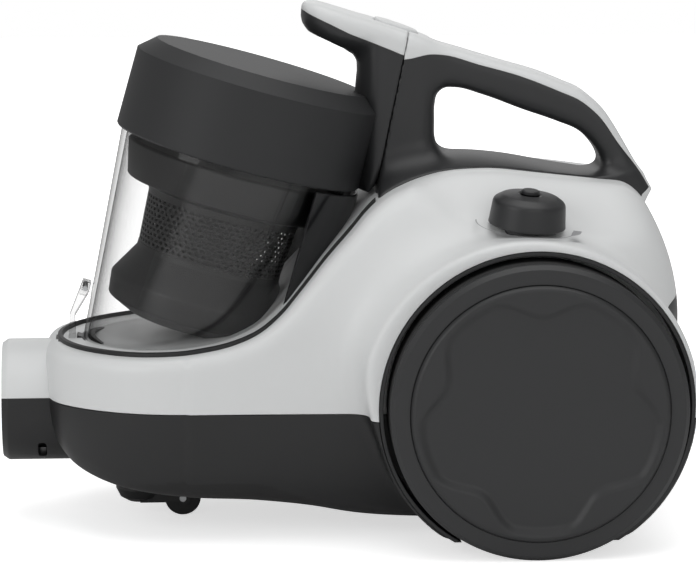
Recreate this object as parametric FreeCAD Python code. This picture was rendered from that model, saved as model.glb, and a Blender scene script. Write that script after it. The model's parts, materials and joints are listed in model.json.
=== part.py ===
import FreeCAD, Part
import math
import os
from FreeCAD import Placement, Rotation
from FreeCAD import Vector as V

# Canister vacuum cleaner with a bagless dust bin, in millimetres.
# Origin: on the floor under the middle of the machine. +X is the rear, -X the hose inlet, +Z up.
# One function makes each piece, and PARTS at the end lists them.

# ---- overall sizes ------------------------------------------------------------------------------------------
overall_length = 394.0      # hose inlet rim to the cord outlet at the rear
track_width = 268.0         # across the two hub caps
wheel_radius = 83.0
wheel_width = 31.0
rear_overhang = 94.5        # wheel axle to the cord outlet
wall = 2.5                  # casing wall
gap = 0.3                   # clearance between pieces that are fitted together
running = 0.08              # clearance between a shaft and its bore

FRONT = -overall_length / 2
REAR = overall_length / 2


def fx(x):
    """A station measured back from the hose inlet's rim."""
    return FRONT + x


def rx(x):
    """A station measured forward from the rear end."""
    return REAR - x


# ---- body ---------------------------------------------------------------------------------------------------
seam_z = 76.5               # level of the joint between the casings
rim_z = 106.3               # top edge of the casing round the bin
deck_z = 206.0              # highest point of the casing's top edge
nose_radius = 90.0          # plan radius of the body round the bin
nose_x = fx(106.0)
side_half_width = 93.0      # body half width between the wheels
rim_inset = 9.0             # the rim lies this far inside the body's widest line
rear_bulge = 14.0           # how far the rear wall curves out in plan
floor_front_z = 24.0        # ground clearance behind the caster
floor_rear_z = 9.0          # ground clearance between the wheels

# ---- wheels -------------------------------------------------------------------------------------------------
wheel_x = rx(rear_overhang)
wheel_z = wheel_radius
wheel_outer_y = track_width / 2 - 3.0
wheel_inner_y = wheel_outer_y - wheel_width
cap_radius = wheel_radius - 11.0
arch_gap = 3.0
arch_wall = 2.0
fender_wall = 4.0
fender_y = wheel_outer_y - 15.0
axle_radius = 5.0
hub_radius = 13.0

# ---- hose inlet ---------------------------------------------------------------------------------------------
inlet_z = 69.5
collar_radius = 35.3
socket_bore_radius = 22.0
socket_radius = 28.5
socket_length = 46.0
inlet_chamfer = 3.0
duct_radius = 14.5
duct_wall = 1.8

# ---- dust bin, in its own axis frame: radius r and height h along a leaning axis --------------------------
bin_tilt = 15.74            # degrees the bin leans back
lift_tilt = 11.7            # degrees of the parting plane and of the way the bin lifts out
bin_origin = V(fx(138.7), 0, 216.2)
bin_top_radius = 69.0
bin_neck_radius = 67.5
bin_base_radius = 58.5
bin_top_h = -5.5
bin_neck_h = 8.0
bin_base_h = -130.0
bin_wall = 2.2
flap_thick = 4.0
hinge_r = 64.0
latch_r = 65.0
latch_h = -102.0
lid_radius = 72.4
lid_skirt_h = -5.1
lid_shoulder_h = 40.8
lid_top_h = 49.0
lid_top_radius = 62.9
lid_wall = 2.6
bin_clearance = 1.6
port_h = -62.0              # height of the bin's inlet port along its axis
port_y = 24.0
parting_foot = V(fx(213.5), 0, 181.6)   # a point of the parting plane, low on the post

# ---- handles ------------------------------------------------------------------------------------------------
grip_half_width = 18.5
post_half_width = 22.0
cover_height = 7.0
handle_z = deck_z + 64.5    # top of the black handle frame beside the parting line

# ---- caster -------------------------------------------------------------------------------------------------
caster_x = fx(79.0)
caster_trail = 25.0
caster_wheel_radius = 10.5
caster_wheel_width = 12.0
caster_top_z = 25.6
caster_dome_radius = 14.0
caster_pin_radius = 3.0
caster_boss = 14.0          # length of the casing's boss round the swivel pin

# ---- power unit ---------------------------------------------------------------------------------------------
power_z = 98.0
plate_y = (-62.0, 12.0)     # inner stations of the two upright chassis plates
plate_thick = 3.0
tray_z = 14.0
motor_radius = 46.0
motor_front_y = -40.0
motor_back_y = 8.0
motor_shaft_radius = 4.0
boss_radius = 14.0
fan_cover_radius = 50.0
reel_radius = 60.0
reel_front_y = 17.4
reel_width = 40.0

# ---- controls -----------------------------------------------------------------------------------------------
knob_x = rx(97.5)
knob_y = 80.0
knob_z = 180.5
knob_radius = 21.5
knob_height = 20.0
knob_pitch = 5.0            # degrees the dial slopes down to the rear
knob_roll = 6.0             # degrees it slopes down to the outside
dial_radius = 31.0
stem_radius = 5.0
guide_radius = 11.7

bin_place = Placement(bin_origin, Rotation(V(0, 1, 0), bin_tilt))
parting_place = Placement(parting_foot, Rotation(V(0, 1, 0), lift_tilt))
lift_dir = V(math.sin(math.radians(lift_tilt)), 0, math.cos(math.radians(lift_tilt)))
UP = V(0, 0, 1)
X = V(1, 0, 0)
Y = V(0, 1, 0)


# ---- small helpers ------------------------------------------------------------------------------------------
def spline(points):
    curve = Part.BSplineCurve()
    curve.interpolate(points)
    return curve.toShape()


def polygon_face(points):
    return Part.Face(Part.makePolygon(list(points) + [points[0]]))


def revolved(profile):
    """Turns a closed list of (radius, height) about the local Z axis."""
    return polygon_face([V(r, 0, h) for r, h in profile]).revolve(V(0, 0, 0), UP, 360)


def tube(r_outer, r_inner, length, base, direction):
    bore = Part.makeCylinder(r_inner, length + 2, base - direction * 1, direction)
    return Part.makeCylinder(r_outer, length, base, direction).cut(bore)


def placed(shape, placement):
    copy = shape.copy()
    copy.Placement = placement.multiply(copy.Placement)
    return copy


def block(x0, x1, y0, y1, z0, z1):
    return Part.makeBox(x1 - x0, y1 - y0, z1 - z0, V(x0, y0, z0))


def above(z):
    return block(-600, 600, -600, 600, z, 800)


def below(z):
    return block(-600, 600, -600, 600, -600, z)


def ring_of(count, radius):
    """Evenly spaced points about the local Z axis, with their angle in degrees."""
    angles = [360.0 * i / count for i in range(count)]
    return [(radius * math.cos(math.radians(a)), radius * math.sin(math.radians(a)), a) for a in angles]


def one(shape):
    """The shape as one solid, or as a compound when it has several."""
    solids = shape.Solids
    return solids[0] if len(solids) == 1 else Part.Compound(solids)


def largest(shape):
    return max(shape.Solids, key=lambda s: s.Volume)


def offset_outline(points, inset):
    """Moves a closed clockwise outline in the XZ plane inwards by inset."""
    moved = []
    count = len(points)
    for i, p in enumerate(points):
        before, after = points[i - 1], points[(i + 1) % count]
        t = (after - before).normalize()
        moved.append(p + V(t.z, 0, -t.x) * inset)
    return moved


def in_bin(shape):
    return placed(shape, bin_place)


def about_wheel(shape, side):
    """Puts a shape made about local Z, with +Z outward, on the wheel axle of one side (+1 or -1)."""
    return placed(shape, Placement(V(wheel_x, 0, wheel_z), Rotation(UP, V(0, side, 0))))


def about_motor(shape):
    """Puts a shape made about local Z on the motor's axis, with local Z along +Y."""
    return placed(shape, Placement(V(wheel_x, 0, power_z), Rotation(UP, Y)))


def dial_place(side):
    """The dial's frame on one side: local Z is the knob's axis, with its seat at local zero."""
    tilt = Rotation(Y, knob_pitch).multiply(Rotation(X, -side * knob_roll))
    return Placement(V(knob_x, side * knob_y, knob_z), tilt)


# ---- body envelope ------------------------------------------------------------------------------------------
def rim_line():
    """The casing's top edge seen from the side, front to rear."""
    return [V(fx(14), 0, rim_z), V(fx(50), 0, rim_z), V(fx(86), 0, rim_z + 1), V(fx(113), 0, rim_z + 4),
            V(fx(131), 0, rim_z + 8), V(fx(146), 0, rim_z + 15.5), V(fx(170), 0, deck_z - 61),
            V(fx(199), 0, deck_z - 31), V(fx(217), 0, deck_z - 15.5), V(fx(232), 0, deck_z - 7),
            V(fx(250), 0, deck_z - 1.7), V(rx(119), 0, deck_z), V(rx(79), 0, deck_z - 5),
            V(rx(50), 0, deck_z - 9.5), V(rx(24), 0, deck_z - 15), V(rx(10), 0, deck_z - 25),
            V(rx(5.5), 0, deck_z - 34)]


def belly_line():
    """The bottom of the body seen from the side, rear to front."""
    return [V(rx(2.2), 0, seam_z + 54), V(rx(2), 0, seam_z), V(rx(9), 0, seam_z - 32),
            V(rx(29), 0, floor_rear_z + 11), V(rx(64), 0, floor_rear_z), V(fx(235), 0, floor_rear_z - 1),
            V(fx(205), 0, floor_rear_z + 2), V(fx(177), 0, floor_front_z - 7), V(fx(147), 0, floor_front_z - 3),
            V(fx(100), 0, floor_front_z + 1), V(fx(70), 0, floor_front_z + 5), V(fx(50), 0, floor_front_z + 11),
            V(fx(32), 0, floor_front_z + 20), V(fx(20), 0, floor_front_z + 36), V(fx(14), 0, seam_z)]


def side_prism(inset):
    """The body's side outline, drawn in by inset, through the whole width."""
    outline = offset_outline(rim_line() + belly_line(), inset)
    n = len(rim_line())
    upper, lower = outline[:n], outline[n:]
    wire = Part.Wire([spline(upper), Part.makeLine(upper[-1], lower[0]), spline(lower),
                      Part.makeLine(lower[-1], upper[0])])
    width = 2 * (side_half_width + nose_radius)
    return Part.Face(wire).extrude(V(0, width, 0)).translated(V(0, -width / 2, 0))


def closed_plan(centre_front, side_points, centre_rear):
    """A closed smooth outline, mirrored about the machine's centre plane."""
    mirrored = [V(p.x, -p.y, p.z) for p in reversed(side_points)]
    curve = Part.BSplineCurve()
    curve.interpolate([centre_front] + side_points + [centre_rear] + mirrored, True)
    return Part.Wire([curve.toShape()])


def plan_wire(z, nose, half_width, rear, inset):
    """One level of the body in plan: a round nose, straight sides and a gently curved rear."""
    n, w, r = nose - inset, half_width - inset, rear - inset
    corner = min(34.0, w * 0.5)
    side_end = r - rear_bulge
    arc = [math.radians(a) for a in (25, 50, 72)]
    points = [V(nose_x - n * math.cos(a), n * math.sin(a), z) for a in arc]
    points += [V(nose_x + 8, n, z), V(fx(170), (n + w) / 2, z), V(fx(230), w, z), V(rx(110), w, z),
               V(side_end - corner, w - 2, z), V(side_end - corner * 0.25, w - corner * 0.42, z),
               V(r - rear_bulge * 0.25, w * 0.36, z)]
    return closed_plan(V(nose_x - n, 0, z), points, V(r, 0, z))


def envelope(inset):
    """The body's outer skin drawn in by inset: plan levels joined upwards, trimmed to the side outline."""
    nose, side = nose_radius, side_half_width
    levels = [(-12, nose - 40, side - 36, REAR - 26), (18, nose - 16, side - 15, REAR - 12),
              (46, nose - 4, side - 3, REAR - 4), (seam_z, nose, side, REAR - 2),
              (rim_z - 12, nose - 0.5, side, REAR - 2), (rim_z + 1, nose - 4, side, REAR - 2),
              (deck_z - 62, nose - 14, side - 2, REAR - 2), (deck_z - 34, nose - 26, side - 10, REAR - 2),
              (deck_z - 16, nose - 38, side - 28, REAR - 3), (deck_z + 14, nose - 60, side - 62, REAR - 6)]
    loft = Part.makeLoft([plan_wire(z, n, w, r, inset) for z, n, w, r in levels], True, True)
    return loft.common(side_prism(inset))


def rim_prism(inset):
    """The opening in the casing's top: a ring round the bin that narrows to the deck."""
    ring, cx = nose_radius - rim_inset - inset, nose_x + 7
    arc = [math.radians(a) for a in (25, 50, 72, 92)]
    points = [V(cx - ring * math.cos(a), ring * math.sin(a), 0) for a in arc]
    points += [V(fx(150), ring - 1, 0), V(fx(172), ring - 7.5, 0), V(fx(200), 58 - inset, 0),
               V(fx(216), 46 - inset, 0), V(fx(245), 34 - inset, 0), V(rx(119), 30 - inset, 0),
               V(rx(54), 27 - inset, 0), V(rx(27), 20 - inset, 0)]
    plan = closed_plan(V(cx - ring, 0, 0), points, V(rx(18) - inset, 0, 0))
    return Part.Face(plan).extrude(V(0, 0, deck_z + 60))


def parting_half(offset):
    """Everything behind the parting plane, moved back by offset."""
    big = 600.0
    return placed(Part.makeBox(big, big, big, V(offset, -big / 2, -big / 2)), parting_place)


class Body:
    """Shapes that more than one body piece is cut from."""
    skin = envelope(0)
    inside = envelope(wall)
    hollow = skin.cut(inside)
    room = envelope(wall + gap)


def fender(side):
    """The round lip that stands out from the body round each wheel."""
    inner = wheel_radius + arch_gap + arch_wall + gap
    root_y = side_half_width - wall - 6
    ring = revolved([(inner, root_y), (inner + fender_wall + 9, root_y), (inner + fender_wall + 3, fender_y - 9),
                     (inner + fender_wall, fender_y - 2), (inner + fender_wall - 1.5, fender_y), (inner, fender_y)])
    ring = about_wheel(ring, side)
    ring = ring.common(block(FRONT, REAR - 2.5, -track_width, track_width, floor_rear_z - 1, 400))
    return ring.cut(Body.inside)


def wheel_arch(side):
    """The dark liner inside the fender, with a back plate against the casing."""
    inner = wheel_radius + arch_gap
    ring = tube(inner + arch_wall, inner, fender_y + 0.5 - (side_half_width + gap), V(0, 0, side_half_width + gap),
                UP)
    ring = about_wheel(ring, side)
    return one(ring.common(block(FRONT, REAR - 3.5, -track_width, track_width, floor_rear_z - 1, 400)))


def collar():
    """The round housing of the hose inlet, with a chamfered rim."""
    body = revolved([(0, 0), (collar_radius - inlet_chamfer, 0), (collar_radius, inlet_chamfer),
                     (collar_radius, 40), (0, 40)])
    body = placed(body, Placement(V(FRONT, 0, inlet_z), Rotation(UP, X)))
    return body.cut(Body.inside)


def socket_cut():
    return Part.makeCylinder(socket_radius + gap, socket_length + 30, V(FRONT - 5, 0, inlet_z), X)


def latch_holes(radius):
    """The two holes in the inlet that the hose's spring buttons snap into."""
    a = math.radians(38)
    holes = [Part.makeCylinder(radius, 60, V(fx(18), 0, inlet_z), V(0, s * math.cos(a), -math.sin(a)))
             for s in (-1, 1)]
    return holes[0].fuse(holes[1])


def dial_pad(side):
    """The pad under a dial, which bridges the casing and the fender, with a sleeve for the dial's stem."""
    pad = placed(Part.makeCylinder(dial_radius, 7, V(0, 0, -7)), dial_place(side)).cut(Body.inside)
    pad = pad.common(block(FRONT, REAR, -fender_y, fender_y, seam_z, 300))
    pad = pad.cut(about_wheel(Part.makeCylinder(wheel_radius + arch_gap + arch_wall + gap, 200), side))
    return pad.fuse(placed(Part.makeCylinder(guide_radius + gap + 2, 27, V(0, 0, -27)), dial_place(side)))


def dial_liner(side):
    """The floor and wall that close the recess round a dial towards the inside of the casing."""
    near, far = sorted((side * (52 - wall), side * 200))
    liner = placed(Part.makeCylinder(dial_radius + 6 + wall, 60, V(0, 0, -wall)), dial_place(side))
    return liner.common(Body.skin).common(block(-600, 600, near, far, seam_z, 600))


def dial_recess(side):
    """Room cut above the dial's pad, and the hole under its stem."""
    near, far = sorted((side * 52, side * 200))
    recess = placed(Part.makeCylinder(dial_radius + 6, 60), dial_place(side))
    recess = recess.common(block(-600, 600, near, far, 0, 600))
    return recess.fuse(placed(Part.makeCylinder(guide_radius + gap, 60, V(0, 0, -30)), dial_place(side)))


def axle_hole(side):
    return about_wheel(Part.makeCylinder(axle_radius + gap, 60, V(0, 0, 60)), side)


def grille_window(inset):
    """The opening in the rear wall for the exhaust grille."""
    return block(rx(44), rx(-20), -50 + inset, 50 - inset, seam_z + 7 + inset, seam_z + 56 - inset)


def upper_casing():
    shell = Body.hollow.common(above(seam_z)).cut(rim_prism(0)).cut(handle_slab(gap))
    for side in (-1, 1):
        shell = shell.fuse(fender(side).common(above(seam_z)))
        shell = shell.fuse(dial_pad(side)).fuse(dial_liner(side)).cut(dial_recess(side)).cut(axle_hole(side))
    shell = shell.fuse(collar().common(above(seam_z)))
    return largest(shell.cut(socket_cut()).cut(grille_window(0)))


def chassis_feet():
    """Plan positions of the screws that hold the chassis down."""
    return [(wheel_x + dx, dy) for dx in (-42, 22) for dy in (-48, 48)]


def lower_casing():
    shell = Body.hollow.common(below(seam_z))
    for side in (-1, 1):
        shell = shell.fuse(fender(side).common(below(seam_z))).cut(axle_hole(side))
    shell = shell.fuse(collar().common(below(seam_z)))
    shell = shell.cut(socket_cut()).cut(latch_holes(4.5))
    shell = shell.fuse(Part.makeCylinder(caster_pin_radius + 5, caster_boss, V(caster_x, 0, caster_top_z + gap)))
    for x, y in chassis_feet():
        shell = shell.fuse(Part.makeCylinder(5, tray_z - floor_rear_z - 1, V(x, y, floor_rear_z + 1)))
        shell = shell.cut(Part.makeCylinder(1.9, 20, V(x, y, floor_rear_z + 1.2)))
    shell = shell.cut(Part.makeCylinder(caster_pin_radius + running, 60, V(caster_x, 0, 0)))
    return largest(shell)


# ---- inlet and duct -----------------------------------------------------------------------------------------
def hose_socket():
    sleeve = tube(socket_radius, socket_bore_radius, socket_length, V(fx(1.5), 0, inlet_z), X)
    return one(sleeve.cut(latch_holes(4.5)))


def duct_path():
    end = bin_place.multVec(V(bin_top_radius + 5, port_y, port_h))
    return [V(fx(1.5) + socket_length + gap, 0, inlet_z), V(fx(66), 0, inlet_z - 1.5), V(fx(88), 0, 62),
            V(fx(122), 0, 52), V(fx(160), 8, 43.5), V(fx(192), 18, 50), V(fx(211), port_y, 74),
            V(fx(216), port_y, 106), end]


def pipe(radius):
    points = duct_path()
    circle = Part.Wire([Part.makeCircle(radius, points[0], X)])
    return Part.Wire([spline(points)]).makePipeShell([circle], True, True)


def inlet_duct():
    funnel = tube(socket_radius, duct_radius, 2.5, duct_path()[0], X)
    return largest(pipe(duct_radius + duct_wall).fuse(funnel).cut(pipe(duct_radius)))


# ---- bin cradle ---------------------------------------------------------------------------------------------
def bin_space(grow):
    """The bin's outer shape, grown all round, with room for the base hinge and the front latch."""
    foot = bin_base_h - flap_thick - 4 - grow
    cone = revolved([(0, foot), (bin_base_radius + 2.5 + grow, foot), (bin_base_radius + 2.5 + grow, bin_base_h),
                     (bin_top_radius + grow, bin_top_h + 1), (bin_top_radius + grow, 60), (0, 60)])
    hinge = block(0, hinge_r + 4.5 + grow, -23 - grow, 23 + grow, foot, 40)
    latch = block(-latch_r - 7 - grow, 0, -11 - grow, 11 + grow, foot, 40)
    return in_bin(cone.fuse(hinge).fuse(latch))


def bin_cradle():
    shelf = side_prism(wall + gap).cut(side_prism(2 * wall + gap)).common(Body.room).common(above(rim_z - 14))
    cup = bin_space(bin_clearance + wall).common(side_prism(wall + gap)).common(Body.room)
    tray = shelf.fuse(cup).cut(bin_space(bin_clearance)).cut(parting_half(-2.0)).cut(socket_cut())
    tray = tray.cut(pipe(duct_radius + duct_wall + gap))
    return largest(tray.common(above(30)))


# ---- handle frame and deck ----------------------------------------------------------------------------------
def grip_top():
    """Top line of the handle frame, front to rear, where the light cover sits."""
    return [V(fx(225), 0, handle_z - 0.5), V(fx(240), 0, handle_z), V(fx(252), 0, handle_z - 0.5),
            V(fx(276), 0, handle_z - 6.5), V(rx(95), 0, handle_z - 13), V(rx(72), 0, handle_z - 22),
            V(rx(59), 0, handle_z - 28), V(rx(49), 0, handle_z - 36.5), V(rx(37), 0, handle_z - 53),
            V(rx(24.5), 0, handle_z - 70), V(rx(19), 0, handle_z - 79)]


def window_line():
    """The hand hole, from its front lower corner round to its rear lower corner."""
    return [V(fx(250.5), 0, deck_z + 6), V(fx(250.3), 0, deck_z + 36), V(fx(252), 0, deck_z + 43),
            V(fx(259), 0, deck_z + 46), V(fx(278), 0, deck_z + 42), V(rx(94), 0, deck_z + 33.5),
            V(rx(70.5), 0, deck_z + 25.5), V(rx(62), 0, deck_z + 21.5), V(rx(54), 0, deck_z + 14.5),
            V(rx(48.5), 0, deck_z + 5), V(rx(47.5), 0, deck_z - 2), V(rx(49), 0, deck_z - 5)]


def handle_slab(grow):
    """The handle's side outline, as thick as the post, narrowing to the grip."""
    top = [p + V(0, 0, grow) for p in grip_top()]
    back, foot = rx(19) + grow, deck_z - 20 - grow
    lines = [spline(top), Part.makeLine(top[-1], V(back, 0, top[-1].z - 1)),
             Part.makeLine(V(back, 0, top[-1].z - 1), V(back, 0, foot)),
             Part.makeLine(V(back, 0, foot), V(fx(205), 0, foot)), Part.makeLine(V(fx(205), 0, foot), top[0])]
    slab = Part.Face(Part.Wire(lines)).extrude(V(0, 100, 0)).translated(V(0, -50, 0))
    post, grip = post_half_width + grow, grip_half_width + grow
    side = [V(fx(190), -post, 0), V(fx(232), -post, 0), V(fx(246), -grip, 0), V(back + 10, -grip + 2, 0)]
    plan = side + [V(p.x, -p.y, 0) for p in reversed(side)]
    return slab.common(polygon_face(plan).extrude(V(0, 0, 500)))


def hand_hole():
    hole = window_line()
    face = Part.Face(Part.Wire([spline(hole), Part.makeLine(hole[-1], hole[0])]))
    return face.extrude(V(0, 100, 0)).translated(V(0, -50, 0))


def post_port():
    """The air way from the bin's lid through the post and down into the body."""
    mouth = parting_foot + lift_dir * 38
    bend = mouth + V(18, 0, 0)
    level = Part.makeCylinder(11, 19, mouth - X, X)
    return level.fuse(Part.makeSphere(11, bend)).fuse(Part.makeCylinder(11, 80, bend, V(0, 0, -1)))


def handle_frame():
    arch_radius = 90.0
    arch = Part.makeCylinder(arch_radius, 500, V(FRONT, 0, deck_z + 7.5 - arch_radius), X)
    deck = side_prism(-6.5).common(arch).common(rim_prism(gap)).cut(side_prism(wall + gap))
    deck = deck.common(above(deck_z - 45))
    deck = deck.cut(block(rx(28), REAR, -grip_half_width, grip_half_width, 0, 400))
    frame = handle_slab(0).cut(hand_hole()).fuse(deck.cut(hand_hole()))
    return largest(frame.common(parting_half(gap)).cut(post_port()))


def handle_cover():
    """The light cover along the top of the fixed handle, stepped down under the release button."""
    low = [p + V(0, 0, gap) for p in grip_top()]
    high = [p + V(0, 0, cover_height) for p in low[:8]]
    high += [V(rx(30), 0, handle_z - 50), V(rx(18), 0, handle_z - 70), V(rx(14.5), 0, handle_z - 76)]
    lines = [spline(low), Part.makeLine(low[-1], high[-1]), spline(high), Part.makeLine(high[0], low[0])]
    width = 2 * (grip_half_width - 0.5)
    slab = Part.Face(Part.Wire(lines)).extrude(V(0, width, 0)).translated(V(0, -width / 2, 0))
    slab = slab.common(parting_half(gap)).cut(button_space(gap)).cut(handle_slab(gap))
    return largest(slab.cut(block(rx(40), REAR + 50, -60, 60, 0, deck_z - 15.4)))


# ---- bin ----------------------------------------------------------------------------------------------------
def cone_radius(h):
    """Outer radius of the clear cup at height h."""
    return bin_base_radius + (bin_top_radius - bin_base_radius) * (h - bin_base_h) / (bin_top_h - bin_base_h)


def bin_cup():
    w = bin_wall
    cup = revolved([(bin_base_radius - w, bin_base_h), (bin_base_radius, bin_base_h), (bin_top_radius, bin_top_h),
                    (bin_neck_radius, bin_top_h + 0.5), (bin_neck_radius, bin_neck_h),
                    (bin_neck_radius - w, bin_neck_h), (bin_neck_radius - w, bin_top_h - 4)])
    for y in (-16, 12):
        cup = cup.fuse(block(bin_base_radius - 1, hinge_r + 3, y, y + 4, bin_base_h + 1, bin_base_h + 9))
        cup = cup.fuse(block(hinge_r - 3, hinge_r + 3, y, y + 4, bin_base_h - 4, bin_base_h + 2))
    for y in (-9.5, 7.5):
        cup = cup.fuse(block(-latch_r - 2.5, -cone_radius(latch_h) + 1.5, y, y + 2, latch_h - 4, latch_h + 4))
    cup = cup.cut(Part.makeCylinder(1.6, 60, V(hinge_r, -30, bin_base_h), Y))
    cup = cup.cut(Part.makeCylinder(1.6, 60, V(-latch_r, -30, latch_h), Y))
    port = Part.makeCylinder(duct_radius, 60, V(30, port_y, port_h), X)
    return one(in_bin(cup.cut(port)))


def base_flap():
    """The bin's hinged floor, with a raised seat for its seal, a front tab and two hinge arms."""
    top = bin_base_h - gap
    bottom = top - flap_thick
    inner = bin_base_radius - bin_wall
    flap = revolved([(0, bottom), (bin_base_radius + 1, bottom), (bin_base_radius + 1, top), (inner - 1, top),
                     (inner - 1, top + 3), (inner - 4, top + 3), (inner - 4, top), (0, top)])
    flap = flap.fuse(block(-bin_base_radius - 3.5, -bin_base_radius + 3, -6, 6, bottom, top))
    for y in (-11.5, 3.5):
        flap = flap.fuse(block(bin_base_radius - 4, hinge_r, y, y + 8, bottom, top - 0.5))
        flap = flap.fuse(Part.makeCylinder(3.2, 8, V(hinge_r, y, bin_base_h), Y))
    return one(in_bin(flap.cut(Part.makeCylinder(1.5 + running, 60, V(hinge_r, -30, bin_base_h), Y))))


def flap_pin():
    return in_bin(Part.makeCylinder(1.5, 32, V(hinge_r, -16, bin_base_h), Y))


def flap_seal():
    inner = bin_base_radius - bin_wall
    ring = tube(inner - 0.4, inner - 0.9, 2.0, V(0, 0, bin_base_h + 0.4), UP)
    return one(in_bin(ring))


def flap_latch():
    """The lever on the bin's front whose foot holds the floor's tab."""
    foot = bin_base_h - flap_thick + 0.6
    side = [(-latch_r + 2.6, latch_h + 3.2), (-latch_r - 2.2, latch_h + 3.2), (-latch_r - 4.4, latch_h - 18),
            (-latch_r - 1.4, foot), (-latch_r + 2.6, foot), (-latch_r + 1, foot + 6), (-latch_r - 1.5, latch_h - 18),
            (-latch_r + 2.6, latch_h - 3.2)]
    lever = polygon_face([V(x, -7, h) for x, h in side]).extrude(V(0, 14, 0))
    return one(in_bin(lever.cut(Part.makeCylinder(1.5 + running, 60, V(-latch_r, -30, latch_h), Y))))


def latch_pin():
    return in_bin(Part.makeCylinder(1.5, 19, V(-latch_r, -9.5, latch_h), Y))


def shroud_line(inset):
    """Outside of the shroud, top to bottom, as (radius, height)."""
    line = [(63.8, -10.5), (58.9, -31), (45, -34), (42, -70), (53, -88), (51.5, -101), (38, -107.5)]
    return [(r - inset, h - (inset if i in (2, 3) else 0)) for i, (r, h) in enumerate(line)]


def shroud():
    """The dark screen inside the bin, with rings of round holes."""
    outer, inner = shroud_line(0), shroud_line(2)
    shell = revolved(outer + list(reversed(inner)))
    for row, h in enumerate((-42, -48, -54, -60, -66)):
        for x, y, a in ring_of(22, 1.0):
            turn = math.radians(a + (row % 2) * 180.0 / 22)
            direction = V(math.cos(turn), math.sin(turn), 0)
            shell = shell.cut(Part.makeCylinder(1.9, 16, direction * 36 + V(0, 0, h), direction))
    neck = tube(65.0, 61.5, 1.8, V(0, 0, bin_neck_h + 0.4), UP)
    stay = tube(63.2, 61.4, bin_neck_h + 0.4 + 11, V(0, 0, -10.8), UP)
    return one(in_bin(shell.fuse(stay).fuse(neck)))


def cyclone_cone():
    """The inner separator: a funnel that hangs inside the shroud from a plate."""
    funnel = revolved([(34, -14), (36, -14), (36, -30), (13, -104), (11, -104), (34, -30)])
    plate = tube(60.6, 12, 2, V(0, 0, -14), UP)
    finder = tube(14, 12.2, 40, V(0, 0, -50), UP)
    return one(in_bin(plate.fuse(funnel).fuse(finder)))


def lid_gasket():
    return one(in_bin(tube(bin_neck_radius, bin_neck_radius - bin_wall, 2.0, V(0, 0, bin_neck_h + 0.05), UP)))


def bin_lid():
    """The bin's dark lid, with an inner flange that clamps the gasket and the shroud."""
    w = lid_wall
    flange = bin_neck_h + 2.3
    lid = revolved([(lid_radius - w, lid_skirt_h), (lid_radius - 0.8, lid_skirt_h), (lid_radius, lid_skirt_h + 1),
                    (lid_radius, lid_shoulder_h), (lid_top_radius, lid_top_h), (0, lid_top_h), (0, lid_top_h - w),
                    (lid_top_radius - 1, lid_top_h - w), (lid_radius - w, lid_shoulder_h - 1),
                    (lid_radius - w, flange + 2), (60, flange + 2), (60, flange), (lid_radius - w, flange)])
    return one(in_bin(lid.cut(Part.makeCylinder(10.5, 40, V(50, 0, 29), X))))


def outlet_neck():
    """The short spout from the lid to the post's air port."""
    outer = in_bin(Part.makeCylinder(13, 40, V(lid_radius - 2, 0, 29), X))
    bore = in_bin(Part.makeCylinder(10.5, 60, V(lid_radius - 20, 0, 29), X))
    return outer.cut(in_bin(Part.makeCylinder(lid_radius + 0.05, 200, V(0, 0, -100)))).cut(bore)


def filter_frame():
    ring = tube(60.5, 57.5, 24, V(0, 0, bin_neck_h + 4.6), UP)
    cross = block(-58, 58, -1.5, 1.5, bin_neck_h + 4.6, bin_neck_h + 7.6)
    cross = cross.fuse(block(-1.5, 1.5, -58, 58, bin_neck_h + 4.6, bin_neck_h + 7.6))
    return one(in_bin(ring.fuse(cross)))


def foam_filter():
    return in_bin(Part.makeCylinder(57.2, 18, V(0, 0, bin_neck_h + 7.9)))


def handle_nose():
    """Side outline of the bin's handle in the centre plane, clockwise from its tip."""
    foot = parting_foot + lift_dir * 30
    head = parting_foot + lift_dir * ((handle_z + 14 - parting_foot.z) / lift_dir.z)
    tip = [(173.5, 18), (173.5, 27), (178, 30.5), (205, 21.5)]
    under = [(205.9, -7.2), (204, -1.1), (190, 7.5), (180, 12)]
    return ([V(fx(x), 0, handle_z + z) for x, z in tip] + [head, foot, V(fx(203), 0, deck_z + 30)]
            + [V(fx(x), 0, handle_z + z) for x, z in under])


def nose_plan():
    """The bin handle in plan: a paddle with a rounded tip."""
    w = grip_half_width + 3.5
    side = [(173, 9), (176, 15), (183, 20), (195, w), (233, w)]
    points = [V(fx(x), -y, 0) for x, y in side] + [V(fx(x), y, 0) for x, y in reversed(side)]
    return polygon_face(points).extrude(V(0, 0, 500))


def nose_block():
    block_shape = polygon_face(handle_nose()).extrude(V(0, 60, 0)).translated(V(0, -30, 0))
    return block_shape.common(nose_plan()).cut(parting_half(-gap))


def cover_split():
    """The surface between the dark bin handle and its light cover, as a half space above it."""
    edge = [(150, 40), (173, 27.2), (178, 23.5), (190, 18.5), (201, 12.5), (213, 8), (230, 1), (260, -8)]
    line = [V(fx(x), 0, handle_z + z) for x, z in edge]
    line += [V(fx(260), 0, handle_z + 80), V(fx(150), 0, handle_z + 80)]
    return polygon_face(line).extrude(V(0, 100, 0)).translated(V(0, -50, 0))


def bin_handle():
    body = nose_block().cut(cover_split())
    lid_space = in_bin(revolved([(0, -20), (lid_radius + 0.05, -20), (lid_radius + 0.05, lid_shoulder_h),
                                 (lid_top_radius, lid_top_h + 0.05), (0, lid_top_h + 0.05)]))
    body = body.fuse(outlet_neck().cut(parting_half(-gap))).cut(lid_space)
    bore = in_bin(Part.makeCylinder(10.5, 60, V(lid_radius - 20, 0, 29), X))
    return largest(body.cut(bore))


def button_seat():
    """The release button's frame: local Z is the way it is pressed, out of the handle's top."""
    base = parting_foot + lift_dir * ((handle_z - parting_foot.z) / lift_dir.z)
    return Placement(base, Rotation(Y, 15.0))


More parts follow.
